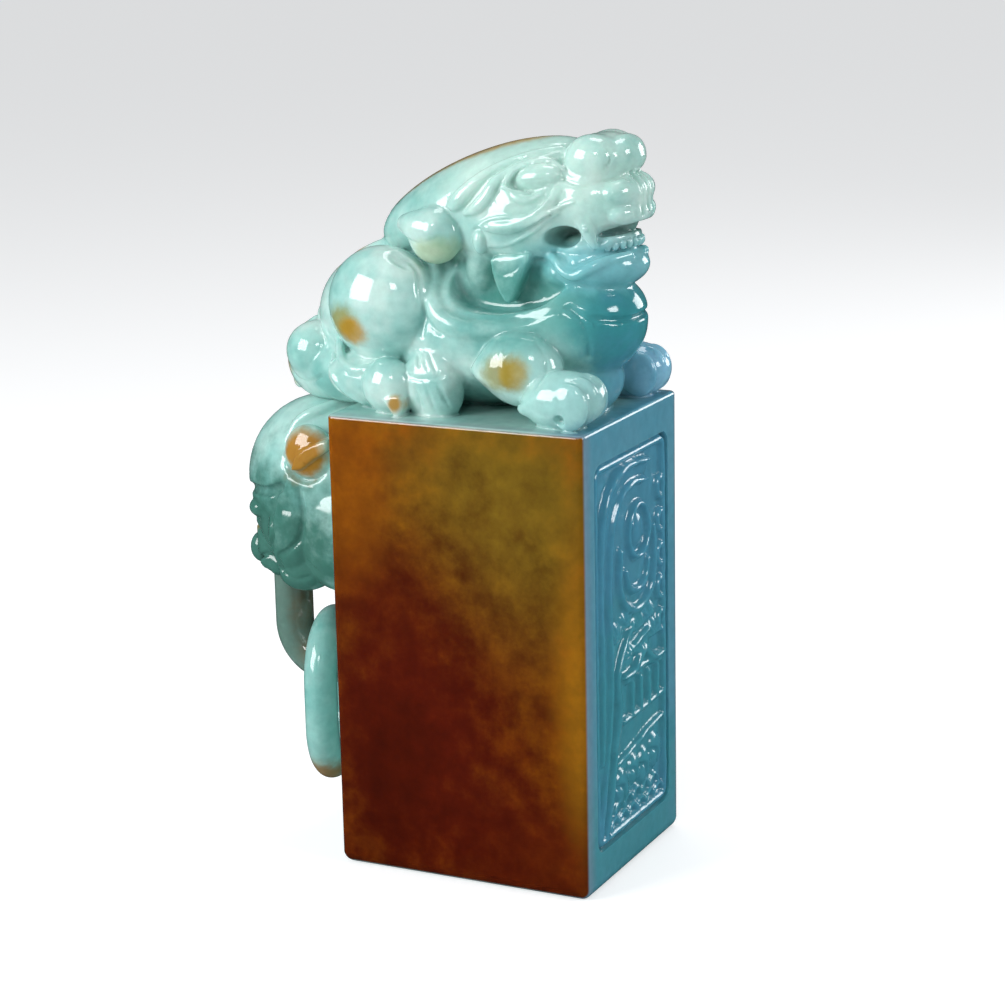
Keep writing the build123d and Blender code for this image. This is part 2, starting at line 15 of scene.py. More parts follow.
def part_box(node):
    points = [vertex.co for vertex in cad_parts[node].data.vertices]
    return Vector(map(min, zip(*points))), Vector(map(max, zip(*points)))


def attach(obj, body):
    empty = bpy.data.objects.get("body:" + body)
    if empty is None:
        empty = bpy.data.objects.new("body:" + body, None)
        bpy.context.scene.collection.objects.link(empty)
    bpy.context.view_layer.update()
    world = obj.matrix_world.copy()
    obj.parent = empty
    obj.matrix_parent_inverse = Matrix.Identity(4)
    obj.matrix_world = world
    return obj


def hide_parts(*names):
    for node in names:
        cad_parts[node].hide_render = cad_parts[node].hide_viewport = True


bl_info = {
    "name": "Jadeite Seal Stamp",
    "version": (1, 0, 0),
    "blender": (4, 5, 0),
    "location": "3D View > Sidebar > Seal Stamp",
    "description": "Carves, polishes and lights a jadeite seal stamp with a beast, a cub and two loose rings",
    "category": "Add Mesh",
}

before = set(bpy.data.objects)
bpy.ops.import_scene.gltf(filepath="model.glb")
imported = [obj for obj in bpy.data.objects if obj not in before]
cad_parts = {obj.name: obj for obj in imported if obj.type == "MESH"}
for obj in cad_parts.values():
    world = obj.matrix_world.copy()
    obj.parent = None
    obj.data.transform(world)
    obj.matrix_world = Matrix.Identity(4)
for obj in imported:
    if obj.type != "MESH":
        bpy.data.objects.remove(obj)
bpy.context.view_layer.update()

MM = 0.001
EMPTY = 4.0  # the distance that the clay holds where there is no stone near


def linear(code):
    """The linear colour of an sRGB hex code."""
    shares = [int(code[place : place + 2], 16) / 255 for place in (1, 3, 5)]
    return tuple(s / 12.92 if s <= 0.04045 else ((s + 0.055) / 1.055) ** 2.4 for s in shares)


block_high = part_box("seal_block")[1]
block_top = block_high[2] / MM
block_half_length = block_high[0] / MM
block_half_width = block_high[1] / MM
ring_low, ring_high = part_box("upper_ring")
bar_low, bar_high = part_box("cub_bite_bar")
panel_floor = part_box("relief_cliffs")[0][0] / MM


def colour_setting(name, description, code):
    """A colour for the panel, with an sRGB hex code as its default."""
    return bpy.props.FloatVectorProperty(
        name=name, description=description, subtype="COLOR", min=0, max=1, default=linear(code)
    )


class SealStoneSettings(bpy.types.PropertyGroup):
    """How finely the stone is carved, and its colours"""

    carving_step: bpy.props.FloatProperty(
        name="Carving Step",
        description="Distance between the points of the beast's and the cub's surface",
        default=0.00022,
        min=0.0001,
        unit="LENGTH",
    )
    thrift: bpy.props.FloatProperty(
        name="Thrift",
        description="How far flat stretches of the carving are made of larger faces",
        default=0.02,
        min=0,
        max=1,
    )
    relief_step: bpy.props.FloatProperty(
        name="Relief Step",
        description="Distance between the points of the carved panel",
        default=0.00014,
        min=0.00005,
        unit="LENGTH",
    )
    body_colour: colour_setting("Body Colour", "Pale mint of most of the stone", "#9CCDC6")
    cloud_colour: colour_setting("Cloud Colour", "Whitish clouds in the mint", "#C2DFD8")
    deep_colour: colour_setting("Deep Colour", "Teal green of the thick and hollow places", "#3F9A92")
    # Blue colour: partly the stone's own bluish tone, partly painted cool light from the right.
    blue_colour: colour_setting("Blue Colour", "Bluish teal of the stone's panel end", "#4B8DA6")
    amber_colour: colour_setting("Amber Colour", "Amber of the weathered skin", "#8C5406")
    olive_colour: colour_setting("Olive Colour", "Olive grey where the skin is thin", "#746018")
    orange_colour: colour_setting("Orange Colour", "Orange of the skin along the block's edges", "#864804")
    russet_colour: colour_setting("Russet Colour", "Darkest russet of the weathered skin", "#521303")


class SealStageSettings(bpy.types.PropertyGroup):
    """Where the camera stands, and how the floor looks"""

    azimuth: bpy.props.FloatProperty(
        name="Azimuth",
        description="How far round the camera stands from the front",
        subtype="ANGLE",
        default=math.radians(26.315),
    )
    elevation: bpy.props.FloatProperty(
        name="Elevation",
        description="How far the camera looks down",
        subtype="ANGLE",
        default=math.radians(14.16),
    )
    roll: bpy.props.FloatProperty(
        name="Roll",
        description="How far the camera leans",
        subtype="ANGLE",
        default=math.radians(-1.191),
    )
    distance: bpy.props.FloatProperty(
        name="Distance",
        description="From the camera to the point that it aims at",
        unit="LENGTH",
        default=0.28874,
    )
    lens: bpy.props.FloatProperty(
        name="Lens",
        description="Focal length on a sensor 36 mm wide",
        default=94.77,
        min=10,
    )
    floor_glow: bpy.props.FloatProperty(
        name="Floor Glow",
        description="How much paler the floor looks than its paper",
        default=0.5,
        min=0,
    )
    floor_colour: colour_setting("Floor Colour", "Pale grey of the floor", "#D9DADB")


def settings():
    """The stone's settings in this scene."""
    return bpy.context.scene.seal_stone


# Clay


def egg(size, middle, pitch=0.0):
    """A ball of that length, width and height. Pitch lowers its front, in degrees."""
    half = [s / 2 for s in size]
    reach = max(half)
    lean = math.radians(pitch)

    def distance(x, y, z):
        x, y, z = x - middle[0], y - middle[1], z - middle[2]
        x, z = x * math.cos(lean) - z * math.sin(lean), z * math.cos(lean) + x * math.sin(lean)
        near = np.sqrt((x / half[0]) ** 2 + (y / half[1]) ** 2 + (z / half[2]) ** 2)
        slope = np.sqrt((x / half[0] ** 2) ** 2 + (y / half[1] ** 2) ** 2 + (z / half[2] ** 2) ** 2)
        return near * (near - 1) / (slope + 1e-6)

    return [m - reach for m in middle], [m + reach for m in middle], distance


def smooth_line(points, steps=5):
    """Points along a smooth line through the given ones, which may hold a width too."""
    points = np.asarray(points, dtype=float)
    run = np.vstack([2 * points[0] - points[1], points, 2 * points[-1] - points[-2]])
    line = []
    for before, here, there, after in zip(run[:-3], run[1:-2], run[2:-1], run[3:]):
        for t in np.linspace(0, 1, steps, endpoint=False):
            line.append(
                0.5
                * (
                    2 * here
                    + (there - before) * t
                    + (2 * before - 5 * here + 4 * there - after) * t**2
                    + (3 * here - before - 3 * there + after) * t**3
                )
            )
    line.append(points[-1])
    return np.array(line)


def cord(points, radii, flat=1.0):
    """A round cord whose radius changes along a smooth line. Flat squeezes it outward from the side."""
    if np.isscalar(radii):
        radii = [radii] * len(points)
    rows = smooth_line([(*point, radius) for point, radius in zip(points, radii)])

    def distance(x, y, z):
        best = EMPTY
        for (ax, ay, az, ar), (bx, by, bz, br) in zip(rows[:-1], rows[1:]):
            dx, dy, dz = bx - ax, by - ay, bz - az
            span = dx * dx + dy * dy + dz * dz + 1e-9
            t = np.clip(((x - ax) * dx + (y - ay) * dy + (z - az) * dz) / span, 0, 1)
            side = (y - ay - t * dy) / flat
            gap = np.sqrt((x - ax - t * dx) ** 2 + side**2 + (z - az - t * dz) ** 2)
            best = np.minimum(best, gap - (ar + t * (br - ar)))
        return best

    reach = max(rows[:, 3])
    return rows[:, :3].min(0) - reach, rows[:, :3].max(0) + reach, distance


def box(low, high, rounding):
    """A box between two corners, with rounded edges."""
    middle = [(a + b) / 2 for a, b in zip(low, high)]
    half = [(b - a) / 2 - rounding for a, b in zip(low, high)]

    def distance(x, y, z):
        gaps = [np.abs(place - m) - h for place, m, h in zip((x, y, z), middle, half)]
        outside = np.sqrt(sum(np.maximum(gap, 0) ** 2 for gap in gaps))
        return outside + np.minimum(np.maximum(np.maximum(gaps[0], gaps[1]), gaps[2]), 0) - rounding

    return low, high, distance


def plate(outline, inner, outer, rounding, smooth=True):
    """A plate with a closed outline in side view, between two distances out from the middle."""
    ring = list(outline) + [outline[0]]
    rows = smooth_line(ring, 4) if smooth else np.array(ring, dtype=float)

    def distance(x, y, z):
        near = EMPTY**2
        within = np.zeros(np.broadcast(x, z).shape, dtype=bool)
        for (ax, az), (bx, bz) in zip(rows[:-1], rows[1:]):
            dx, dz = bx - ax, bz - az
            t = np.clip(((x - ax) * dx + (z - az) * dz) / (dx * dx + dz * dz + 1e-9), 0, 1)
            near = np.minimum(near, (x - ax - t * dx) ** 2 + (z - az - t * dz) ** 2)
            if az != bz:
                crosses = ((az > z) != (bz > z)) & (x < (bx - ax) * (z - az) / (bz - az) + ax)
                within = within ^ crosses
        flat = np.sqrt(near) * np.where(within, -1, 1) + rounding
        deep = np.abs(y - (inner + outer) / 2) - (outer - inner) / 2 + rounding
        outside = np.sqrt(np.maximum(flat, 0) ** 2 + np.maximum(deep, 0) ** 2)
        return outside + np.minimum(np.maximum(flat, deep), 0) - rounding

    low = (rows[:, 0].min(), inner, rows[:, 1].min())
    high = (rows[:, 0].max(), outer, rows[:, 1].max())
    return low, high, distance


def outward(field, points):
    """The outward direction at points on the surface of a grid of distances, between the grid's slopes."""
    slopes = np.stack(np.gradient(field), axis=-1)
    corner = np.clip(np.floor(points).astype(int), 0, np.array(field.shape) - 2)
    share = points - corner
    normals = np.zeros_like(points)
    for i in (0, 1):
        for j in (0, 1):
            for k in (0, 1):
                part = [s if c else 1 - s for c, s in zip((i, j, k), share.T)]
                weight = part[0] * part[1] * part[2]
                at = corner + (i, j, k)
                normals += slopes[at[:, 0], at[:, 1], at[:, 2]] * weight[:, None]
    return normals / (np.linalg.norm(normals, axis=1)[:, None] + 1e-9)


class Clay:
    """Stone kept as distances to its surface on a grid. It holds one side, and the other is its mirror."""

    def __init__(self, low, high, step):
        self.step = step
        self.axes = [np.arange(a, b + step / 2, step) for a, b in zip(low, high)]
        self.field = np.full([len(axis) for axis in self.axes], EMPTY)

    def cut_out(self, shape, margin):
        """The part of the grid about a shape, and the distances to the shape and its mirror there."""
        low, high, distance = shape
        window = tuple(
            slice(
                max(0, int(np.searchsorted(axis, a - margin)) - 1), int(np.searchsorted(axis, b + margin)) + 1
            )
            for axis, a, b in zip(self.axes, low, high)
        )
        x, y, z = np.meshgrid(*(axis[w] for axis, w in zip(self.axes, window)), indexing="ij", sparse=True)
        new = distance(x, y, z)
        if low[1] < margin and high[1] + low[1] != 0:
            new = np.minimum(new, distance(x, -y, z))
        return window, new

    def add(self, shape, blend):
        """Joins a shape on, with a fillet about as wide as blend."""
        window, new = self.cut_out(shape, blend + 1)
        old = self.field[window]
        share = np.clip(0.5 + 0.5 * (old - new) / blend, 0, 1)
        self.field[window] = old + (new - old) * share - blend * share * (1 - share)

    def carve(self, shape, blend):
        """Takes a shape away, with its rim rounded."""
        window, new = self.cut_out(shape, blend + 1)
        old = self.field[window]
        share = np.clip(0.5 - 0.5 * (old + new) / blend, 0, 1)
        self.field[window] = old - (new + old) * share + blend * share * (1 - share)

    def side(self, x, z, lift=0.0):
        """The point at x and z where the side of the stone is now, moved out by lift."""
        row = min(max(round((x - self.axes[0][0]) / self.step), 0), len(self.axes[0]) - 1)
        level = min(max(round((z - self.axes[2][0]) / self.step), 0), len(self.axes[2]) - 1)
        column = self.field[row, :, level]
        within = np.nonzero(column < 0)[0]
        if len(within) == 0 or within[-1] + 1 >= len(column):
            return (x, lift, z)
        last = within[-1]
        share = column[last] / (column[last] - column[last + 1])
        return (x, self.axes[1][last] + share * self.step + lift, z)

    def lay(self, points, lift):
        """The places on the stone's side of a line drawn in side view."""
        return [self.side(x, z, lift) for x, z in points]

    def ridge(self, points, radii, lift=0.0, blend=0.15):
        """Lays a cord on the stone's side, along a line drawn in side view."""
        self.add(cord(self.lay(points, lift), radii), blend)

    def groove(self, points, radii, lift=0.0, blend=0.12):
        """Cuts along a line drawn in side view."""
        self.carve(cord(self.lay(points, lift), radii), blend)

    def make(self, name, rise):
        """A smooth mesh object of the stone and its mirror."""
        whole = np.concatenate([self.field[:, :0:-1], self.field], axis=1)
        grid = openvdb.FloatGrid(background=EMPTY)
        grid.copyFromArray(whole)
        points, triangles, quads = grid.convertToPolygons(isovalue=0.0, adaptivity=settings().thrift)
        normals = outward(whole, points)
        first = points[quads[:, 0]]
        facing = np.cross(points[quads[:, 1]] - first, points[quads[:, 2]] - first)
        if np.einsum("ij,ij->i", facing, normals[quads[:, 0]]).sum() < 0:
            quads, triangles = quads[:, ::-1], triangles[:, ::-1]
        start = np.array([self.axes[0][0], -self.axes[1][-1], self.axes[2][0] + rise])
        places = (points * self.step + start) * MM
        mesh = bpy.data.meshes.new(name)
        mesh.from_pydata(places.tolist(), [], quads.tolist() + triangles.tolist())
        mesh.polygons.foreach_set("use_smooth", [True] * len(mesh.polygons))
        mesh.normals_split_custom_set_from_vertices(normals.tolist())
        piece = bpy.data.objects.new(name, mesh)
        bpy.context.scene.collection.objects.link(piece)
        print(name, len(points), "points,", 2 * len(quads) + len(triangles), "triangles")
        return piece


# The beast


def shape_body(clay):
    """Trunk, hind quarters, chest and neck, with the hollow under the jaw and the folded collar round it."""
    clay.add(egg((31.0, 16.8, 15.6), (-2.5, 0, 7.8)), 0.2)
    clay.add(egg((16.8, 15.0, 15.0), (-13.1, 0, 9.0)), 1.5)
    clay.add(egg((16.0, 15.0, 13.0), (8.4, 0, 9.6)), 1.0)
    clay.add(egg((11.0, 14.0, 8.4), (8.0, 0, 3.0)), 0.9)
    clay.add(egg((17.0, 10.6, 12.0), (2.0, 0, 14.4)), 0.8)
    clay.add(egg((8.0, 9.6, 7.0), (-7.0, 0, 14.2)), 0.8)
    clay.add(egg((8.8, 12.2, 6.6), (11.7, 0, 10.8), pitch=-6), 0.6)
    collar = [
        (-6.4, 17.0), (-5.6, 14.2), (-4.8, 12.0), (-3.2, 10.3), (-0.4, 9.4), (3.0, 9.4), (6.6, 9.8),
        (9.8, 11.2),
    ]
    clay.ridge(collar, [0.7, 1.0, 1.1, 1.15, 1.1, 1.0, 0.8, 0.4], lift=-0.3, blend=0.4)
    hollow = [
        (-3.4, 16.6), (-3.3, 13.6), (-2.4, 12.1), (-0.6, 11.2), (2.4, 10.9), (5.4, 11.3), (8.4, 12.4),
        (9.6, 14.6), (3.0, 17.4),
    ]
    clay.carve(plate(hollow, 3.9, 15.0, 0.6), 0.2)
    clay.add(egg((3.6, 3.0, 5.6), (-0.4, 3.7, 15.6)), 0.8)
    behind = [(-8.4, 16.6), (-7.0, 15.2), (-6.3, 13.0), (-5.6, 11.2), (-4.4, 9.6), (-2.8, 8.7)]
    clay.groove(behind, 0.2, lift=0.05, blend=0.2)
    fold = [(10.6, 6.6, 12.0), (12.8, 6.2, 11.2), (14.7, 4.6, 10.7), (15.9, 2.4, 10.5), (16.2, 0.0, 10.5)]
    clay.carve(cord(fold, [0.2, 0.3, 0.35, 0.35, 0.35]), 0.25)
    clay.groove([(11.0, 12.2), (12.3, 10.8), (12.9, 8.8), (12.6, 6.8)], 0.2, lift=0.05, blend=0.2)


def shape_back(clay):
    """The raised band that runs down the back from the crest to the tail."""
    band = [(-11.2, 16.6), (-14.2, 15.7), (-17.2, 14.1), (-19.7, 11.6), (-21.2, 8.4)]
    clay.add(cord([(x, 0, z) for x, z in band], 1.4), 0.12)


def shape_hind_leg(clay):
    """The round haunch with its lower fold, the shin and the foot with its toes and heel tuft."""
    clay.add(egg((12.8, 9.4, 12.6), (-11.0, 5.9, 11.1)), 0.2)
    clay.groove(
        [(-9.0, 17.0), (-6.4, 15.2), (-5.6, 13.0), (-5.2, 10.6), (-5.4, 8.4)], 0.25, lift=0.1, blend=0.3
    )
    clay.add(egg((11.4, 6.0, 6.0), (-11.9, 6.8, 3.0), pitch=8), 0.5)
    clay.ridge(
        [(-16.4, 7.2), (-15.2, 5.3), (-12.9, 4.4), (-10.6, 4.9), (-8.8, 6.0)], 0.5, lift=-0.2, blend=0.12
    )
    clay.add(egg((7.0, 4.6, 8.0), (-4.5, 7.7, 2.9), pitch=-16), 0.6)
    clay.add(egg((6.0, 4.8, 6.0), (-9.3, 8.7, 2.9), pitch=-24), 0.1)
    claw = [(-9.0, 1.9), (-7.8, 2.3), (-6.8, 2.2), (-6.6, 1.2), (-7.0, 0.2), (-7.8, 0.3)]
    clay.add(plate(claw, 8.4, 11.1, 0.3), 0.08)
    fins = (
        ((-6.4, 7.2), (-5.7, 6.3), (-5.2, 5.2)),
        ((-5.4, 7.0), (-4.7, 6.0), (-4.1, 5.0)),
        ((-4.4, 6.5), (-3.7, 5.6), (-3.1, 4.7)),
        ((-5.6, 3.5), (-5.1, 2.0), (-4.8, 0.5)),
        ((-4.3, 3.7), (-3.8, 2.2), (-3.4, 0.7)),
        ((-3.0, 3.7), (-2.4, 2.4), (-1.9, 1.0)),
        ((-6.8, 4.3), (-5.4, 4.1), (-3.8, 4.2), (-2.4, 4.5)),
    )
    for line in fins:
        clay.groove(line, [0.16, *[0.24] * (len(line) - 2), 0.14], lift=0.05, blend=0.08)


def shape_fore_leg(clay):
    """The leaf-shaped upper leg with its full rim, and the front foot with four toes."""
    clay.carve(egg((6.4, 5.4, 5.0), (1.2, 9.8, 2.0), pitch=28), 0.5)
    clay.add(egg((9.4, 5.8, 8.0), (5.9, 7.6, 5.5), pitch=10), 0.15)
    clay.add(cord([(4.6, 7.9, 5.6), (2.6, 8.2, 5.4), (0.9, 8.2, 5.1)], [2.8, 1.8, 0.6]), 0.6)
    clay.add(egg((9.2, 6.2, 6.2), (11.2, 8.8, 2.8), pitch=-6), 0.1)
    clay.add(cord([(10.4, 8.8, 3.6), (8.8, 9.4, 2.7), (7.2, 9.8, 1.9)], [2.0, 1.4, 0.7], flat=1.2), 0.6)
    clay.groove(
        [(8.2, 8.6), (9.3, 7.3), (9.6, 5.8), (9.1, 4.2), (7.8, 2.9), (6.2, 2.2)], 0.16, lift=0.05, blend=0.15
    )
    for y, z, reach in ((6.5, 2.8, 0.0), (8.1, 3.2, 0.5), (9.7, 3.1, 0.4), (11.0, 2.6, -0.2)):
        clay.add(egg((4.4, 1.75, 5.0), (13.0 + reach, y, z)), 0.06)
    clay.carve(egg((1.3, 2.6, 1.3), (11.9, 12.0, 1.2)), 0.08)


def shape_tail(clay):
    """The tail curled into a ball over the block's rear edge, with a lock on each side."""
    clay.add(egg((10.2, 9.6, 9.4), (-21.0, 0, 3.5)), 0.3)
    clay.add(egg((10.0, 9.6, 7.6), (-17.4, 1.6, 2.9)), 1.0)
    clay.add(egg((7.0, 6.4, 6.6), (-21.7, 2.2, 4.7)), 0.12)
    clay.groove([(-24.4, 2.5), (-23.0, 1.6), (-21.2, 1.7), (-19.0, 2.8)], 0.22, lift=0.05)
    clay.ridge([(-17.6, 5.0), (-16.2, 3.6), (-14.2, 1.8), (-12.4, 0.8)], 0.3, lift=-0.05, blend=0.2)
    clay.add(cord([(-22.8, 0, 7.4), (-24.9, 0, 5.8), (-25.8, 0, 3.4), (-25.2, 0, 0.6)], 0.8), 0.12)


def shape_head(clay):
    """Skull, crest, muzzle, lips and jaw."""
    clay.add(egg((21.0, 13.8, 13.2), (3.2, 0, 21.2), pitch=-14), 0.3)
    clay.add(egg((26.6, 12.6, 9.4), (-1.2, 0, 22.3), pitch=-22), 0.8)
    clay.add(egg((12.8, 11.2, 9.4), (10.8, 0, 22.6)), 0.8)
    crest = [(-13.2, 18.0), (-12.2, 20.6), (-8.4, 23.7), (-3.0, 26.4), (2.5, 28.0), (7.4, 28.7)]
    clay.add(cord([(x, 0, z - 0.75) for x, z in crest], [0.7, 0.9, 0.9, 0.9, 0.9, 0.6]), 0.35)
    clay.add(egg((12.6, 10.8, 5.8), (10.6, 0, 15.5), pitch=-4), 0.4)
    clay.add(egg((9.6, 9.6, 5.0), (11.2, 0, 18.4), pitch=-6), 0.2)
    clay.carve(egg((9.4, 4.0, 1.9), (15.0, 5.6, 19.2), pitch=-8), 0.3)
    clay.add(egg((5.2, 9.6, 4.2), (14.6, 0, 23.6)), 0.15)
    clay.add(egg((4.6, 9.0, 3.4), (15.0, 0, 21.5)), 0.12)


def shape_nose(clay):
    """The round nose with its wings, and the crease under them."""
    clay.add(egg((8.4, 7.8, 4.9), (12.4, 0, 27.0)), 0.25)
    clay.add(egg((6.0, 4.6, 5.0), (12.0, 2.6, 27.0)), 0.7)
    clay.add(egg((3.8, 6.2, 4.2), (14.6, 0, 27.3)), 0.2)
    wing = [(9.9, 28.6), (9.2, 27.3), (9.1, 26.0), (9.9, 25.0), (11.8, 24.6), (13.6, 24.9), (15.4, 25.3)]
    clay.groove(wing, 0.28)
    clay.groove([(14.0, 28.4), (14.5, 27.4), (14.1, 26.2)], 0.12)


def shape_brow(clay):
    """Two flame-shaped locks of the brow, laid over each other."""
    upper = [(8.6, 28.0), (6.4, 27.6), (4.2, 26.9), (2.0, 25.8), (0.2, 24.4), (-1.3, 22.9), (-2.2, 22.1)]
    clay.ridge(upper, [0.2, 0.32, 0.4, 0.55, 0.8, 1.0, 0.75], lift=-0.15, blend=0.08)
    lower = [(8.4, 27.5), (6.4, 26.9), (4.2, 25.9), (2.6, 24.6), (1.8, 23.2), (0.6, 22.0), (-0.8, 21.3)]
    clay.ridge(lower, [0.2, 0.3, 0.42, 0.62, 0.75, 0.7, 0.35], lift=-0.05, blend=0.08)


def shape_eye(clay):
    """The eyeball in its hollow, between two thin lids and a fold."""
    x, z = 6.7, 25.1
    out = clay.side(x, z)[1]
    clay.carve(egg((5.7, 1.7, 3.2), (x + 0.2, out + 0.4, z), pitch=-9), 0.3)
    clay.add(egg((5.6, 3.0, 2.9), (x, out - 0.95, z), pitch=-9), 0.05)
    clay.ridge([(3.6, 24.3), (4.5, 25.8), (6.2, 26.7), (8.0, 26.8), (9.6, 25.9)], 0.3, lift=0.12, blend=0.06)
    clay.ridge([(3.6, 24.3), (5.0, 23.8), (6.6, 23.7), (8.2, 24.1), (9.6, 25.4)], 0.22, lift=0.12, blend=0.06)
    fold = [(4.2, 23.8), (5.0, 23.2), (6.4, 23.0), (7.8, 23.6)]
    clay.ridge(fold, [0.25, 0.5, 0.5, 0.25], lift=-0.1, blend=0.08)


def shape_cheek(clay):
    """The leaf-shaped whisker lock, the thin one under it and the curl behind the jaw."""
    leaf = [(1.2, 20.2), (2.8, 20.2), (4.4, 20.3), (6.2, 20.8), (7.8, 21.7), (8.8, 22.9), (9.5, 24.0)]
    clay.ridge(leaf, [0.2, 0.5, 0.62, 0.6, 0.6, 0.55, 0.3], lift=-0.1, blend=0.1)
    over = [(0.9, 20.2), (2.2, 20.9), (4.0, 21.2), (5.8, 21.2), (7.4, 21.8), (8.5, 22.9), (9.2, 24.2)]
    clay.ridge(over, 0.18, lift=0.1)
    under = [(0.9, 20.1), (2.2, 19.7), (4.2, 19.6), (6.2, 20.3), (8.0, 21.3), (9.8, 22.4), (11.2, 22.9)]
    clay.ridge(under, 0.2, lift=0.1)
    thin = [(1.6, 18.0), (3.4, 18.1), (5.0, 18.7), (6.6, 19.6), (7.8, 20.6), (9.4, 21.8)]
    clay.ridge(thin, 0.22, lift=0.05, blend=0.1)
    curl = clay.side(0.6, 18.4)[1]
    clay.carve(egg((2.4, 2.0, 3.6), (0.6, curl + 0.7, 18.4)), 0.15)
    clay.add(egg((1.6, 1.8, 2.8), (0.6, curl - 0.3, 18.4)), 0.06)
    for z in (22.9, 22.4, 21.9):
        clay.groove([(12.3, z), (12.9, z - 0.08), (13.5, z)], 0.12, lift=0.02, blend=0.06)


def shape_mouth(clay):
    """The open mouth: the deep corner, the slot over the tongue, the fang and the lips."""
    clay.carve(egg((4.0, 8.4, 2.5), (9.5, 5.8, 19.0), pitch=-10), 0.2)
    clay.add(egg((8.4, 7.0, 2.0), (11.4, 0, 18.5), pitch=-8), 0.1)
    clay.carve(egg((6.8, 16.0, 0.9), (15.8, 0, 19.9), pitch=-14), 0.08)
    clay.add(egg((7.4, 4.4, 3.4), (12.2, 0, 19.8), pitch=-10), 0.1)
    fang = [(11.8, 4.1, 21.4), (12.1, 4.4, 20.2), (12.5, 4.5, 19.2), (13.0, 4.5, 18.2)]
    clay.add(cord(fang, [1.3, 0.9, 0.65, 0.35]), 0.15)
    clay.add(egg((0.7, 0.7, 0.7), clay.side(12.3, 20.1, 0.1)), 0.06)
    lip = [
        (6.2, 17.2), (7.4, 17.0), (8.7, 16.5), (9.6, 15.7), (10.9, 15.2), (12.3, 15.8), (13.9, 16.6),
        (15.8, 17.1),
    ]
    clay.ridge(lip, [0.3, 0.45, 0.5, 0.5, 0.55, 0.6, 0.6, 0.5], lift=0.0, blend=0.2)
    over_lip = [(9.4, 17.2), (10.6, 16.4), (12.0, 16.8), (13.8, 17.5), (15.6, 17.9)]
    clay.groove(over_lip, 0.25, lift=0.1, blend=0.2)
    clay.ridge([(4.6, 15.2), (5.6, 16.0), (7.2, 16.0), (8.6, 15.2)], 0.3, lift=-0.1, blend=0.2)
    for y in (0.0, 1.3, 2.6):
        fold = [(15.6, y * 0.9, 25.4), (16.9, y, 24.4), (17.2, y, 23.0), (16.9, y, 21.4)]
        clay.carve(cord(fold, 0.3), 0.15)


def shape_ear(clay):
    """The drop-shaped ear, lying in a hollow behind the cheek."""
    clay.carve(egg((10.0, 3.0, 7.4), (-5.2, 7.9, 18.8), pitch=-8), 0.3)
    clay.add(egg((6.2, 4.4, 6.2), (-4.7, 5.8, 18.8)), 0.08)
    clay.add(cord([(-8.1, 5.7, 19.8), (-6.6, 6.2, 19.7), (-4.8, 6.0, 19.4)], [1.1, 1.7, 2.4]), 0.3)
    hem = [(-8.8, 19.3), (-7.6, 18.5), (-6.2, 18.2), (-4.8, 18.3), (-3.4, 18.8)]
    clay.groove(hem, 0.14, lift=0.06, blend=0.2)


def shape_beard(clay):
    """The pointed lock that hangs in the hollow under the jaw."""
    leaf = [
        (1.7, 16.6), (3.0, 17.0), (4.6, 17.1), (6.1, 17.3), (5.5, 15.4), (4.7, 13.4), (3.8, 12.0),
        (2.9, 12.8), (2.1, 14.6),
    ]
    clay.add(plate(leaf, 3.8, 6.2, 0.25), 0.08)
    clay.groove([(2.2, 15.9), (3.3, 15.2), (4.5, 15.5), (5.5, 16.6)], 0.16, lift=0.05, blend=0.06)
    clay.groove([(5.6, 16.6), (5.0, 14.8), (4.2, 12.9)], 0.14, lift=0.05, blend=0.06)


def shape_footing(clay):
    """A slab just under the block's top, so that the feet run into it with a fillet."""
    x = clay.axes[0][:, None, None]
    y = clay.axes[1][None, :, None]
    z = clay.axes[2][None, None, :]
    inset, sunk, half_thick, blend = 0.5, 0.03, 0.5, 0.45
    slab = np.maximum(np.abs(x) - block_half_length + inset, y - block_half_width + inset)
    slab = np.maximum(slab, np.abs(z + sunk + half_thick) - half_thick)
    share = np.clip(0.5 + 0.5 * (clay.field - slab) / blend, 0, 1)
    clay.field = clay.field + (slab - clay.field) * share - blend * share * (1 - share)


beast_shapes = (
    shape_body,
    shape_back,
    shape_hind_leg,
    shape_fore_leg,
    shape_tail,
    shape_head,
    shape_nose,
    shape_brow,
    shape_eye,
    shape_cheek,
    shape_mouth,
    shape_beard,
    shape_ear,
    shape_footing,
)


# The cub


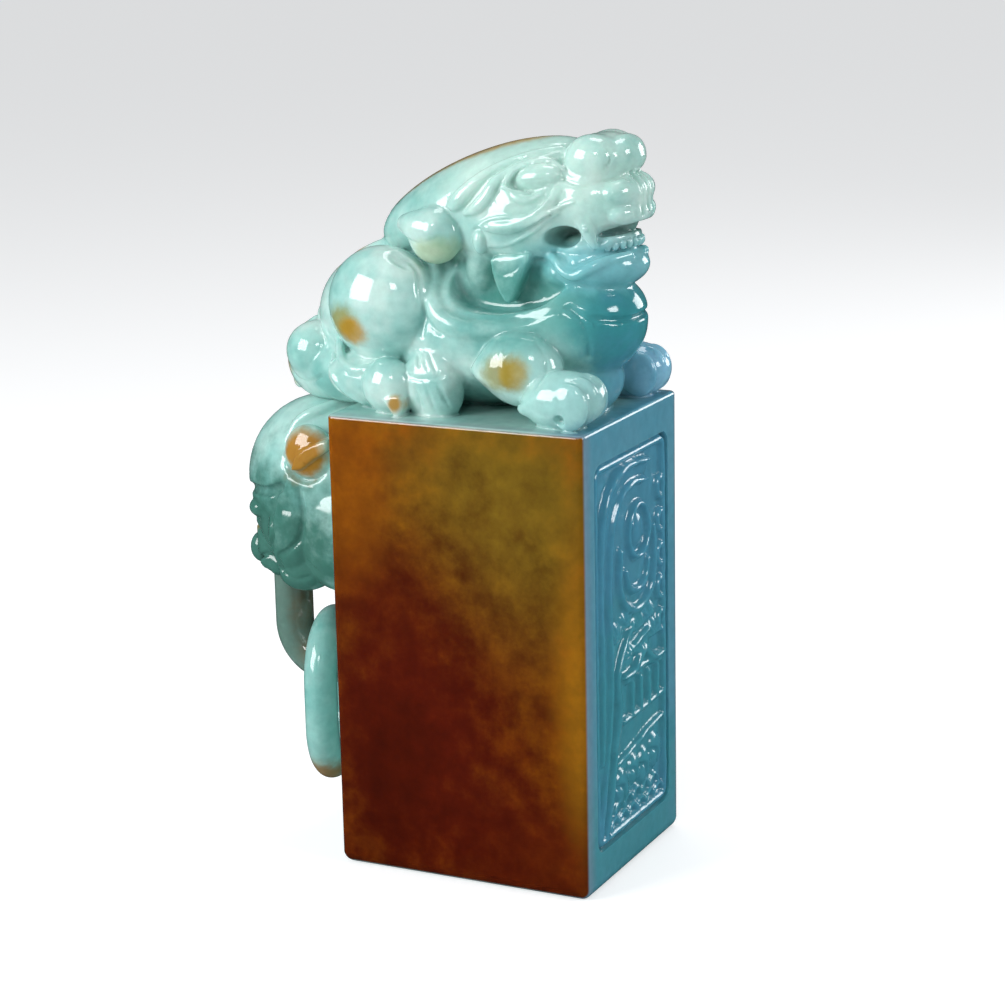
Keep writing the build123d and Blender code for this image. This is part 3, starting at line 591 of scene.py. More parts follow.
def shape_cub(clay):
    """The cub's head, with a blunt muzzle, folded cheeks and flat round ears."""
    clay.add(egg((20.2, 15.8, 19.0), (-21.4, 0, -10.0)), 0.2)
    clay.add(egg((13.4, 12.6, 13.6), (-23.8, 0, -15.0)), 0.5)
    clay.add(box((-30.6, -3.6, -21.7), (-24.0, 3.6, -12.4), 2.1), 0.5)
    clay.add(egg((7.6, 6.8, 11.6), (-23.2, 4.6, -15.0), pitch=8), 0.12)
    clay.add(egg((9.8, 5.8, 13.4), (-18.0, 5.4, -15.0)), 0.12)
    clay.add(egg((7.4, 4.2, 5.2), (-22.4, 4.9, -19.6), pitch=-14), 0.12)
    clay.add(egg((4.6, 7.6, 4.6), (-27.4, 0, -20.2)), 0.2)
    brow = [
        (-31.7, 0, -11.9), (-30.9, 2.8, -11.5), (-28.9, 5.1, -11.0), (-26.3, 6.7, -10.8), (-24.2, 7.4, -10.0)
    ]
    clay.carve(cord(brow, 0.6), 0.3)
    clay.add(egg((3.6, 3.6, 2.6), (-28.5, 3.5, -13.4)), 0.06)
    clay.add(egg((2.4, 3.0, 5.4), (-29.9, 0, -15.8)), 0.15)
    beside_nose = [(-30.7, 1.4, -15.4), (-29.8, 2.9, -16.0), (-28.6, 4.0, -17.0), (-27.0, 5.2, -18.4)]
    clay.carve(cord(beside_nose, 0.3), 0.2)
    cheek = [(-23.8, -9.6), (-25.0, -11.2), (-25.6, -13.4), (-25.4, -15.4), (-26.4, -17.4)]
    clay.groove(cheek, 0.4, lift=0.1, blend=0.2)
    jowl = [(-21.4, -9.8), (-21.2, -12.6), (-21.6, -15.4), (-23.2, -17.0), (-24.8, -18.0), (-24.8, -19.8)]
    clay.groove(jowl, 0.35, lift=0.1, blend=0.2)
    curl = [(-25.2, -19.6), (-23.2, -20.4), (-21.2, -20.0), (-19.6, -19.2), (-21.0, -18.2)]
    clay.groove(curl, 0.16, lift=0.04)
    clay.groove([(-29.8, -19.6), (-28.4, -19.0), (-26.8, -19.4), (-25.6, -20.6)], 0.3, lift=0.1, blend=0.2)
    over_ear = [(-23.8, -4.8), (-22.6, -2.8), (-20.2, -1.6), (-17.6, -1.0)]
    clay.ridge(over_ear, [0.3, 0.7, 0.8, 0.7], lift=-0.2, blend=0.2)
    ear = clay.side(-20.6, -5.7)[1]
    clay.carve(egg((7.0, 3.2, 7.0), (-20.5, ear + 0.9, -5.7)), 0.1)
    clay.add(egg((6.0, 3.4, 6.1), (-20.5, ear - 0.3, -5.7)), 0.05)
    lock = [
        (-22.0, -7.6), (-21.4, -6.0), (-20.0, -4.8), (-17.4, -3.8), (-17.2, -4.9), (-19.0, -6.2),
        (-20.6, -7.4),
    ]
    clay.add(plate(lock, ear - 0.6, ear + 1.7, 0.4), 0.06)


def open_mouth(clay):
    """The slot in which the upper ring swings on its bar, the nose over it and the back against the block."""
    beside, around, bottom, inmost = 0.45, 0.6, -27.0, -12.0
    middle, half = (ring_low[0] + ring_high[0]) / 2 / MM, ring_high[1] / MM + beside
    reach = (ring_high[0] - ring_low[0]) / 2 / MM + around
    level = ring_high[2] / MM - reach + around - block_top
    arch = [(middle + reach * math.cos(a), level + reach * math.sin(a)) for a in np.linspace(1.57, 3.0, 12)]
    open_front = [(middle - reach - 0.35, level), (middle - reach - 1.2, level - 2.1), (-34.0, bottom)]
    outline = [(inmost, level + reach), *arch, *open_front, (inmost, bottom)]
    slot = plate(outline, -half, half, 0.3, smooth=False)
    clay.carve(slot, 0.2)
    bar = [(a + b) / 2 / MM for a, b in zip(bar_low, bar_high)]
    radius = (bar_high[2] - bar_low[2]) / 2 / MM
    clay.add(cord([(bar[0], 0, bar[2] - block_top), (bar[0], 4.0, bar[2] - block_top)], radius), 0.15)
    clay.add(egg((3.0, 3.0, 3.7), (-31.1, 0, -19.2)), 0.08)
    sharp = 0.05
    clay.carve(slot, sharp)
    clay.carve(box((-14.6, -14.0, -30.0), (-4.0, 14.0, 4.0), sharp), sharp)


class SEAL_OT_carve_beast(bpy.types.Operator):
    """Carves the crouching beast as one smooth piece of stone"""

    bl_idname = "seal.carve_beast"
    bl_label = "Carve Beast"

    def execute(self, context):
        clay = Clay((-27.2, 0.0, -1.8), (19.0, 12.8, 30.6), settings().carving_step / MM)
        for shape in beast_shapes:
            shape(clay)
        beast = clay.make("carved_beast", block_top)
        beast.data.materials.append(bpy.data.materials["polished_jadeite"])
        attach(beast, "stone")
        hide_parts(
            *(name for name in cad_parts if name.startswith("beast_") and name != "beast_teeth")
        )
        return {"FINISHED"}


class SEAL_OT_carve_cub(bpy.types.Operator):
    """Carves the cub's head below the tail, with its mouth open for the ring"""

    bl_idname = "seal.carve_cub"
    bl_label = "Carve Cub"

    def execute(self, context):
        clay = Clay((-33.2, 0.0, -23.4), (-13.6, 9.4, 0.8), settings().carving_step / MM)
        shape_cub(clay)
        open_mouth(clay)
        cub = clay.make("carved_cub", block_top)
        cub.data.materials.append(bpy.data.materials["shaded_jadeite"])
        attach(cub, "stone")
        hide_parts(*(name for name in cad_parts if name.startswith("cub_")))
        return {"FINISHED"}


# The panel


class Relief:
    """Heights over the panel's floor. y runs across the panel and z up it."""

    def __init__(self, low, high, step):
        self.low = low
        self.step = step
        across = np.arange(low[0], high[0] + step / 2, step)
        up = np.arange(low[1], high[1] + step / 2, step)
        self.y, self.z = np.meshgrid(across, up, indexing="ij")
        self.height = np.zeros_like(self.y)

    def near(self, points, radii):
        """How near each place is to a smooth line, from 0 at its edge to 1 on it."""
        if np.isscalar(radii):
            radii = [radii] * len(points)
        rows = smooth_line([(*point, radius) for point, radius in zip(points, radii)], 4)
        reach = max(row[2] for row in rows)
        lows, highs = rows[:, :2].min(0) - reach, rows[:, :2].max(0) + reach
        window = tuple(
            slice(max(0, int((a - start) / self.step)), max(0, int((b - start) / self.step) + 2))
            for a, b, start in zip(lows, highs, self.low)
        )
        y, z = self.y[window], self.z[window]
        best = np.full_like(y, -1.0)
        for (ay, az, ar), (by, bz, br) in zip(rows[:-1], rows[1:]):
            dy, dz = by - ay, bz - az
            t = np.clip(((y - ay) * dy + (z - az) * dz) / (dy * dy + dz * dz + 1e-9), 0, 1)
            gap = np.sqrt((y - ay - t * dy) ** 2 + (z - az - t * dz) ** 2)
            best = np.maximum(best, 1 - gap / (ar + t * (br - ar)))
        return window, np.clip(best, 0, 1)

    def ridge(self, points, radii, height, level=0.0):
        """A round ridge along a line."""
        window, near = self.near(points, radii)
        rise = np.where(near > 0, level + height * np.sqrt(1 - (1 - near) ** 2), 0)
        self.height[window] = np.maximum(self.height[window], rise)

    def groove(self, points, radii, depth):
        """A cut along a line, below whatever is there."""
        window, near = self.near(points, radii)
        self.height[window] = np.maximum(self.height[window] - depth * np.sqrt(near), 0)

    def dome(self, middle, half, height):
        """A round boulder or disc."""
        away = ((self.y - middle[0]) / half[0]) ** 2 + ((self.z - middle[1]) / half[1]) ** 2
        rise = height * np.sqrt(np.clip(1 - away, 0, 1))
        self.height = np.maximum(self.height, rise)

    def soften(self, times):
        """Evens each height out with its neighbours', that many times."""
        for _ in range(times):
            inside = self.height[1:-1, 1:-1]
            around = self.height[:-2, 1:-1] + self.height[2:, 1:-1]
            around = around + self.height[1:-1, :-2] + self.height[1:-1, 2:]
            self.height[1:-1, 1:-1] = (inside * 2 + around) / 6

    def make(self, name, floor, back, boost, tallest):
        """A closed slab with a flat back, and the boosted heights over the floor as its front."""
        rows, columns = self.height.shape
        depth = floor + np.clip(self.height * boost, 0, tallest)
        top = np.stack([depth, self.y, self.z], axis=-1).reshape(-1, 3)
        index = np.arange(rows * columns).reshape(rows, columns)
        quads = np.stack([index[:-1, :-1], index[1:, :-1], index[1:, 1:], index[:-1, 1:]], axis=-1)
        quads = quads.reshape(-1, 4)
        rim = np.concatenate([index[:-1, 0], index[-1, :-1], index[:0:-1, -1], index[0, :0:-1]])
        under = top[rim].copy()
        under[:, 0] = back
        low = rows * columns + np.arange(len(rim))
        walls = np.stack([rim, low, np.roll(low, -1), np.roll(rim, -1)], axis=-1)
        mesh = bpy.data.meshes.new(name)
        faces = quads.tolist() + walls.tolist() + [low[::-1].tolist()]
        mesh.from_pydata((np.vstack([top, under]) * MM).tolist(), [], faces)
        smooth = [True] * len(quads) + [False] * (len(walls) + 1)
        mesh.polygons.foreach_set("use_smooth", smooth)
        piece = bpy.data.objects.new(name, mesh)
        bpy.context.scene.collection.objects.link(piece)
        print(name, len(faces), "faces")
        return piece


def carve_border(panel):
    """A rounded frame with round corners, just inside the panel's edge."""
    corner, inset, half_width, height = 1.9, 0.85, 0.5, 0.55
    near_edge = np.minimum(panel.y - panel.low[0], panel.y[-1, 0] - panel.y)
    near_end = np.minimum(panel.z - panel.low[1], panel.z[0, -1] - panel.z)
    inward_y, inward_z = np.maximum(corner - near_edge, 0), np.maximum(corner - near_end, 0)
    edge = np.where(
        (inward_y > 0) & (inward_z > 0),
        corner - np.hypot(inward_y, inward_z),
        np.minimum(near_edge, near_end),
    )
    ridge = height * np.sqrt(np.clip(1 - ((edge - inset) / half_width) ** 2, 0, 1))
    panel.height = np.maximum(panel.height, ridge)


def carve_cliff(panel):
    """A tall overhanging cliff with two ribs that arch over the sun."""
    wall = [(-7.0, 12.0), (-6.6, 24.0), (-6.8, 34.0), (-5.6, 40.6), (-2.0, 43.8), (4.2, 44.0)]
    panel.ridge(wall, [1.6, 2.2, 2.2, 2.2, 1.8, 1.0], 0.3)
    outer = [(-8.1, 14.0), (-7.7, 22.0), (-8.0, 32.0), (-7.4, 39.6), (-5.0, 43.6), (-0.6, 45.1), (5.0, 44.7)]
    panel.ridge(outer, [0.3, 0.5, 0.55, 0.6, 0.6, 0.5, 0.3], 0.5, 0.2)
    inner = [(-6.2, 16.0), (-5.5, 23.0), (-5.8, 33.0), (-5.0, 38.8), (-2.8, 41.9), (0.6, 43.0), (4.6, 42.6)]
    panel.ridge(inner, [0.3, 0.5, 0.55, 0.6, 0.55, 0.5, 0.3], 0.5, 0.2)
    for low, high in ((18.0, 25.0), (26.5, 33.0), (35.0, 39.0)):
        panel.groove([(-7.0, low), (-6.7, (low + high) / 2), (-6.9, high)], 0.3, 0.25)


def carve_sky(panel):
    """The sun's disc with cloud scrolls below and beside it."""
    sun_y, sun_z = 2.4, 37.4
    round_it = np.linspace(0, 2 * math.pi, 13)
    panel.ridge([(sun_y + 2.7 * math.cos(a), sun_z + 2.9 * math.sin(a)) for a in round_it], 0.42, 0.6)
    panel.dome((sun_y, sun_z), (1.7, 1.9), 0.5)
    outer = [(-2.4, 36.2), (-2.6, 32.4), (-0.8, 29.6), (2.4, 28.6), (5.6, 29.8), (6.8, 33.0), (6.6, 37.0)]
    panel.ridge(outer, [0.3, 0.55, 0.6, 0.6, 0.6, 0.55, 0.3], 0.55)
    inner = [(-0.9, 33.6), (0.0, 31.6), (2.2, 30.8), (4.4, 31.6), (5.2, 33.6)]
    panel.ridge(inner, [0.3, 0.45, 0.5, 0.45, 0.3], 0.5)
    for low in (24.4, 28.2, 32.0, 35.8, 39.6):
        scroll = [(8.9, low), (7.9, low + 0.5), (7.7, low + 1.7), (8.5, low + 2.3), (9.0, low + 1.5)]
        panel.ridge(scroll, [0.3, 0.45, 0.5, 0.4, 0.3], 0.5)


def carve_pine(panel):
    """A leaning pine with fans of needles."""
    trunk = [(-4.2, 14.8), (-3.0, 18.6), (-3.6, 22.0), (-1.6, 25.4), (0.6, 27.4)]
    panel.ridge(trunk, [0.8, 0.7, 0.6, 0.5, 0.35], 0.6)
    panel.ridge([(-2.6, 24.0), (1.6, 24.8), (5.0, 25.6)], [0.4, 0.4, 0.3], 0.5)
    fans = (
        (-3.6, 27.0, 1.5), (-0.8, 28.0, 1.5), (2.2, 27.0, 1.6), (5.0, 27.4, 1.5), (-0.6, 24.4, 1.3),
        (3.4, 24.2, 1.5), (6.6, 25.0, 1.4),
    )
    for y, z, size in fans:
        reach, spread, soft, needles = 1.5 * size, 1.6, 0.4, 9
        across, up = panel.y - y, panel.z - z + size * 0.5
        away, turn = np.hypot(across, up), np.arctan2(across, up)
        fan = np.clip(1 - (away / reach) ** 2, 0, 1) * np.clip(spread - np.abs(turn), 0, soft) / soft
        panel.height = np.maximum(panel.height, fan**0.5 * (0.42 + 0.14 * np.cos(needles * turn)))


def carve_pavilion(panel):
    """A pavilion on a terrace, under a roof with turned-up corners."""
    roof = [(-1.8, 21.9), (1.0, 22.0), (3.6, 23.6), (6.2, 22.0), (9.0, 21.9)]
    panel.ridge(roof, [0.3, 0.5, 0.7, 0.5, 0.3], 0.65)
    panel.ridge([(-0.8, 21.2), (3.6, 21.9), (8.2, 21.2)], 0.45, 0.45)
    for y in (0.2, 2.5, 4.8, 7.1):
        panel.ridge([(y, 20.9), (y, 17.4)], 0.38, 0.6)
    panel.ridge([(-1.8, 16.9), (3.4, 17.0), (9.0, 17.3)], 0.45, 0.5)
    panel.ridge([(-3.6, 12.6), (1.0, 13.3), (5.0, 14.1), (9.0, 14.6)], [0.4, 0.45, 0.45, 0.3], 0.5)


def carve_rocks(panel):
    """Leaning rocks, boulders and waves at the foot of the panel."""
    panel.ridge([(-8.7, 6.2), (-7.5, 10.6), (-6.2, 16.2)], [0.7, 0.6, 0.3], 0.65)
    panel.ridge([(-6.8, 5.8), (-5.2, 10.2), (-4.2, 15.2)], [0.7, 0.6, 0.3], 0.6)
    boulders = ((-2.4, 9.6, 1.8, 2.2), (0.8, 10.6, 1.7, 1.8), (3.6, 10.2, 1.7, 2.2), (6.6, 11.0, 1.9, 2.1))
    for y, z, wide, high in boulders:
        panel.dome((y, z), (wide, high), 0.6)
        panel.groove([(y - wide, z + 0.5), (y - 0.2, z + 0.1), (y + 0.5, z - high)], 0.3, 0.3)
    wave = ((-1.2, -0.3), (-0.6, 0.4), (0, 0.6), (0.6, 0.4), (1.2, -0.3))
    for row, z in enumerate((6.2, 7.7)):
        for y in np.arange(-4.4 + row * 1.2, 8.6, 2.4):
            panel.ridge([(y + across, z + up) for across, up in wave], 0.34, 0.42)


class SEAL_OT_carve_panel(bpy.types.Operator):
    """Carves the landscape in the sunk panel as one closed slab"""

    bl_idname = "seal.carve_panel"
    bl_label = "Carve Panel"

    def execute(self, context):
        tallest, boost, ripple, sunk = 1.15, 1.25, 0.035, 0.3
        panel = Relief((-9.94, 4.36), (9.94, 47.04), settings().relief_step / MM)
        for form in (carve_cliff, carve_sky, carve_pine, carve_pavilion, carve_rocks, carve_border):
            form(panel)
        panel.height += ripple * np.sin(panel.y * 1.9 + 1.3 * np.sin(panel.z * 0.7)) * np.sin(panel.z * 1.3)
        panel.soften(2)
        piece = panel.make("carved_panel", panel_floor + sunk, panel_floor - sunk, boost, tallest)
        piece.data.materials.append(bpy.data.materials["carved_jadeite"])
        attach(piece, "stone")
        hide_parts(*(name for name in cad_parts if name.startswith("relief_")))
        return {"FINISHED"}


# Teeth


def add_node(tree, kind, inputs=None, **options):
    """A node of that kind, its sockets set to values or linked to other nodes' sockets."""
    node = tree.nodes.new(kind)
    for name, value in options.items():
        setattr(node, name, value)
    for name, value in (inputs or {}).items():
        socket = node.inputs[name]
        if isinstance(value, bpy.types.NodeSocket):
            tree.links.new(value, socket)
        elif socket.type == "RGBA" and len(value) == 3:
            socket.default_value = (*value, 1.0)
        else:
            socket.default_value = value
    return node


def tooth_row_tree():
    """Rounded teeth set along an arc that follows the jaw."""
    tree = bpy.data.node_groups.new("tooth_row", "GeometryNodeTree")
    sockets = {
        "Count": "Int",
        "Jaw Length": "Float",
        "Jaw Width": "Float",
        "Tooth Size": "Vector",
        "Place": "Vector",
        "Pitch": "Float",
        "Stone": "Material",
    }
    for name, kind in sockets.items():
        tree.interface.new_socket(name=name, in_out="INPUT", socket_type="NodeSocket" + kind)
    tree.interface.new_socket(name="Geometry", in_out="OUTPUT", socket_type="NodeSocketGeometry")
    given = tree.nodes.new("NodeGroupInput").outputs
    half_turn = math.radians(78)
    arc = add_node(
        tree,
        "GeometryNodeCurveArc",
        {"Resolution": 48, "Radius": 1.0, "Start Angle": -half_turn, "Sweep Angle": 2 * half_turn},
        mode="RADIUS",
    )
    shape = add_node(
        tree, "ShaderNodeCombineXYZ", {"X": given["Jaw Length"], "Y": given["Jaw Width"], "Z": 1.0}
    )
    tilt = add_node(tree, "ShaderNodeCombineXYZ", {"Y": given["Pitch"]})
    jaw = add_node(
        tree,
        "GeometryNodeTransform",
        {
            "Geometry": arc.outputs["Curve"],
            "Scale": shape.outputs[0],
            "Rotation": tilt.outputs[0],
            "Translation": given["Place"],
        },
    )
    sites = add_node(
        tree, "GeometryNodeCurveToPoints", {"Curve": jaw.outputs[0], "Count": given["Count"]}, mode="COUNT"
    )
    ball = add_node(tree, "GeometryNodeMeshIcoSphere", {"Radius": 0.5, "Subdivisions": 4})
    shaded = add_node(tree, "GeometryNodeSetShadeSmooth", {"Geometry": ball.outputs["Mesh"]})
    teeth = add_node(
        tree,
        "GeometryNodeInstanceOnPoints",
        {
            "Points": sites.outputs["Points"],
            "Instance": shaded.outputs[0],
            "Scale": given["Tooth Size"],
        },
    )
    real = add_node(tree, "GeometryNodeRealizeInstances", {"Geometry": teeth.outputs[0]})
    stone = add_node(
        tree, "GeometryNodeSetMaterial", {"Geometry": real.outputs[0], "Material": given["Stone"]}
    )
    result = tree.nodes.new("NodeGroupOutput")
    tree.links.new(stone.outputs[0], result.inputs["Geometry"])
    return tree


class SEAL_OT_set_teeth(bpy.types.Operator):
    """Sets the upper and the lower row of teeth along the beast's jaws"""

    bl_idname = "seal.set_teeth"
    bl_label = "Set Teeth"

    def execute(self, context):
        tree = tooth_row_tree()
        rows = {
            "upper_teeth": {
                "Count": 11,
                "Jaw Length": 0.0040,
                "Jaw Width": 0.0037,
                "Tooth Size": (0.0009, 0.0009, 0.0013),
                "Place": (0.0124, 0, block_top * MM + 0.0210),
                "Pitch": -0.1,
            },
            "lower_teeth": {
                "Count": 13,
                "Jaw Length": 0.0036,
                "Jaw Width": 0.0037,
                "Tooth Size": (0.0008, 0.0008, 0.0011),
                "Place": (0.0124, 0, block_top * MM + 0.0179),
                "Pitch": -0.13,
            },
        }
        for name, values in rows.items():
            values["Stone"] = bpy.data.materials["polished_jadeite"]
            mould = bpy.data.objects.new(name + "_mould", bpy.data.meshes.new(name + "_mould"))
            context.scene.collection.objects.link(mould)
            modifier = mould.modifiers.new("tooth_row", "NODES")
            modifier.node_group = tree
            for socket in tree.interface.items_tree:
                if socket.in_out == "INPUT":
                    modifier[socket.identifier] = values[socket.name]
            grown = mould.evaluated_get(context.evaluated_depsgraph_get())
            row = bpy.data.objects.new(name, bpy.data.meshes.new_from_object(grown))
            bpy.data.objects.remove(mould)
            context.scene.collection.objects.link(row)
            print(name, len(row.data.polygons), "faces")
            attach(row, "stone")
            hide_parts("beast_teeth")
        return {"FINISHED"}


# Stone


def reckon(tree, operation, *values):
    """The result of a Math node on those values or sockets."""
    return add_node(tree, "ShaderNodeMath", dict(enumerate(values)), operation=operation).outputs[0]


def between(tree, value, start, end):
    """A smooth step from 0 at start to 1 at end."""
    step = add_node(
        tree,
        "ShaderNodeMapRange",
        {"Value": value, "From Min": start, "From Max": end},
        interpolation_type="SMOOTHSTEP",
    )
    return step.outputs["Result"]


def patch(tree, place, wander, middle, half, turn=0.0, soft=0.4):
    """How much of a ragged ellipsoid, tilted about y, covers each place, from 0 to 1."""
    local = add_node(
        tree,
        "ShaderNodeMapping",
        {"Vector": place, "Location": middle, "Rotation": (0, turn, 0), "Scale": half},
        vector_type="TEXTURE",
    )
    reach = add_node(tree, "ShaderNodeVectorMath", {0: local.outputs[0]}, operation="LENGTH")
    rim = 0.95
    return between(tree, reckon(tree, "ADD", reach.outputs["Value"], wander), rim + soft, rim - soft)


def tint(tree, under, over, cover, strength=1.0):
    """One colour laid over another as far as cover says."""
    share = reckon(tree, "MULTIPLY", cover, strength)
    return add_node(tree, "ShaderNodeMix", {0: share, 6: under, 7: over}, data_type="RGBA").outputs[2]


def mottle(tree, colour, noise, darkest, lightest):
    """A colour made darker and lighter by a noise."""
    lift = add_node(
        tree,
        "ShaderNodeMapRange",
        {"Value": noise, "From Min": 0.3, "From Max": 0.7, "To Min": darkest, "To Max": lightest},
    )
    return add_node(tree, "ShaderNodeHueSaturation", {"Value": lift.outputs[0], "Color": colour}).outputs[0]


def jadeite(name, patches, blue=1.0, cloud=1.0, roughness=0.1, weathered=False):
    """Jadeite: interlocked grains in a translucent mass, polished to a glassy and slightly greasy gloss.

    The eye gets soft mint depth under small sharp lights, with cloudy, teal and weathered amber places.
    """
    colours = settings()
    stone = bpy.data.materials.new(name)
    stone.use_nodes = True
    tree = stone.node_tree
    spot = add_node(tree, "ShaderNodeTexCoord")
    in_mm = add_node(
        tree, "ShaderNodeVectorMath", {0: spot.outputs["Object"], "Scale": 1 / MM}, operation="SCALE"
    )
    place = in_mm.outputs[0]
    parts = add_node(tree, "ShaderNodeSeparateXYZ", {0: place}).outputs
    drift, grain, ragged = (
        add_node(
            tree,
            "ShaderNodeTexNoise",
            {"Vector": place, "Scale": scale, "Detail": detail, "Roughness": rough},
        ).outputs[0]
        for scale, detail, rough in ((0.14, 3.0, 0.55), (0.85, 5.0, 0.62), (0.34, 6.0, 0.6))
    )
    raggedness = 1.1
    wander = reckon(tree, "MULTIPLY_ADD", ragged, raggedness, -raggedness / 2)

    colour = tint(tree, colours.body_colour, colours.cloud_colour, between(tree, drift, 0.42, 0.66), cloud)
    colour = tint(tree, colour, colours.deep_colour, between(tree, drift, 0.46, 0.3), 0.45)
    # The panel's end is bluer, up to the beast's chest: partly the stone's own bluish tone, partly painted
    # cool light from the right.
    if blue:
        end = between(tree, reckon(tree, "ADD", parts["X"], wander), 8.5, 15.0)
        low = between(tree, parts["Z"], 73.0, 62.0)
        colour = tint(tree, colour, colours.blue_colour, reckon(tree, "MULTIPLY", end, low), blue)
    for code, middle, half, turn, strength in patches:
        colour = tint(tree, colour, linear(code), patch(tree, place, wander, middle, half, turn), strength)

    # The pebble's brown skin covers the near side, greyish just under it, and shows faintly on the far side.
    if weathered:
        skin = tint(tree, colours.orange_colour, colours.amber_colour, between(tree, drift, 0.4, 0.6))
        for tone, middle, half, strength in (
            (colours.olive_colour, (5.5, -12.5, 42.0), (12.5, 6.0, 12.0), 0.85),
            (colours.olive_colour, (8.0, -12.5, 30.0), (7.0, 6.0, 8.0), 0.45),
            (colours.russet_colour, (-6.0, -12.5, 14.0), (19.0, 7.0, 25.0), 1.0),
            (colours.russet_colour, (9.0, -12.5, 4.0), (12.0, 6.0, 9.0), 0.85),
            (colours.russet_colour, (-8.0, -12.5, 27.0), (7.0, 6.0, 11.0), 0.6),
            (linear("#94640F"), (14.6, -12.5, 23.0), (2.6, 6.0, 14.0), 0.8),
            (colours.orange_colour, (-12.5, -12.5, 44.0), (4.0, 6.0, 9.0), 0.7),
            (linear("#3C0B00"), (-9.0, -12.5, 10.0), (6.0, 6.0, 9.0), 0.5),
        ):
            skin = tint(tree, skin, tone, patch(tree, place, wander, middle, half, soft=0.65), strength)
        skin = mottle(tree, skin, ragged, 0.78, 1.16)
        depth = reckon(tree, "MULTIPLY_ADD", wander, 0.9, parts["Y"])
        colour = tint(tree, colour, linear("#8C8796"), between(tree, depth, -10.0, -12.2), 0.4)
        under_top = between(tree, parts["Z"], block_top - 0.02, block_top - 0.3)
        near_side = between(tree, parts["Y"], -12.0, -12.3)
        colour = tint(tree, colour, skin, reckon(tree, "MULTIPLY", near_side, under_top))
        colour = tint(tree, colour, skin, between(tree, depth, 11.2, 12.6), 0.55)

    colour = mottle(tree, colour, grain, 0.92, 1.07)
    shader = tree.nodes["Principled BSDF"]
    tree.links.new(colour, shader.inputs["Base Color"])
    polish = {
        "Roughness": roughness,
        "IOR": 1.66,
        "Subsurface Weight": 0.35,
        "Subsurface Radius": (0.8, 1.3, 1.1),
        "Subsurface Scale": 0.0012,
    }
    for socket, value in polish.items():
        shader.inputs[socket].default_value = value
    return stone


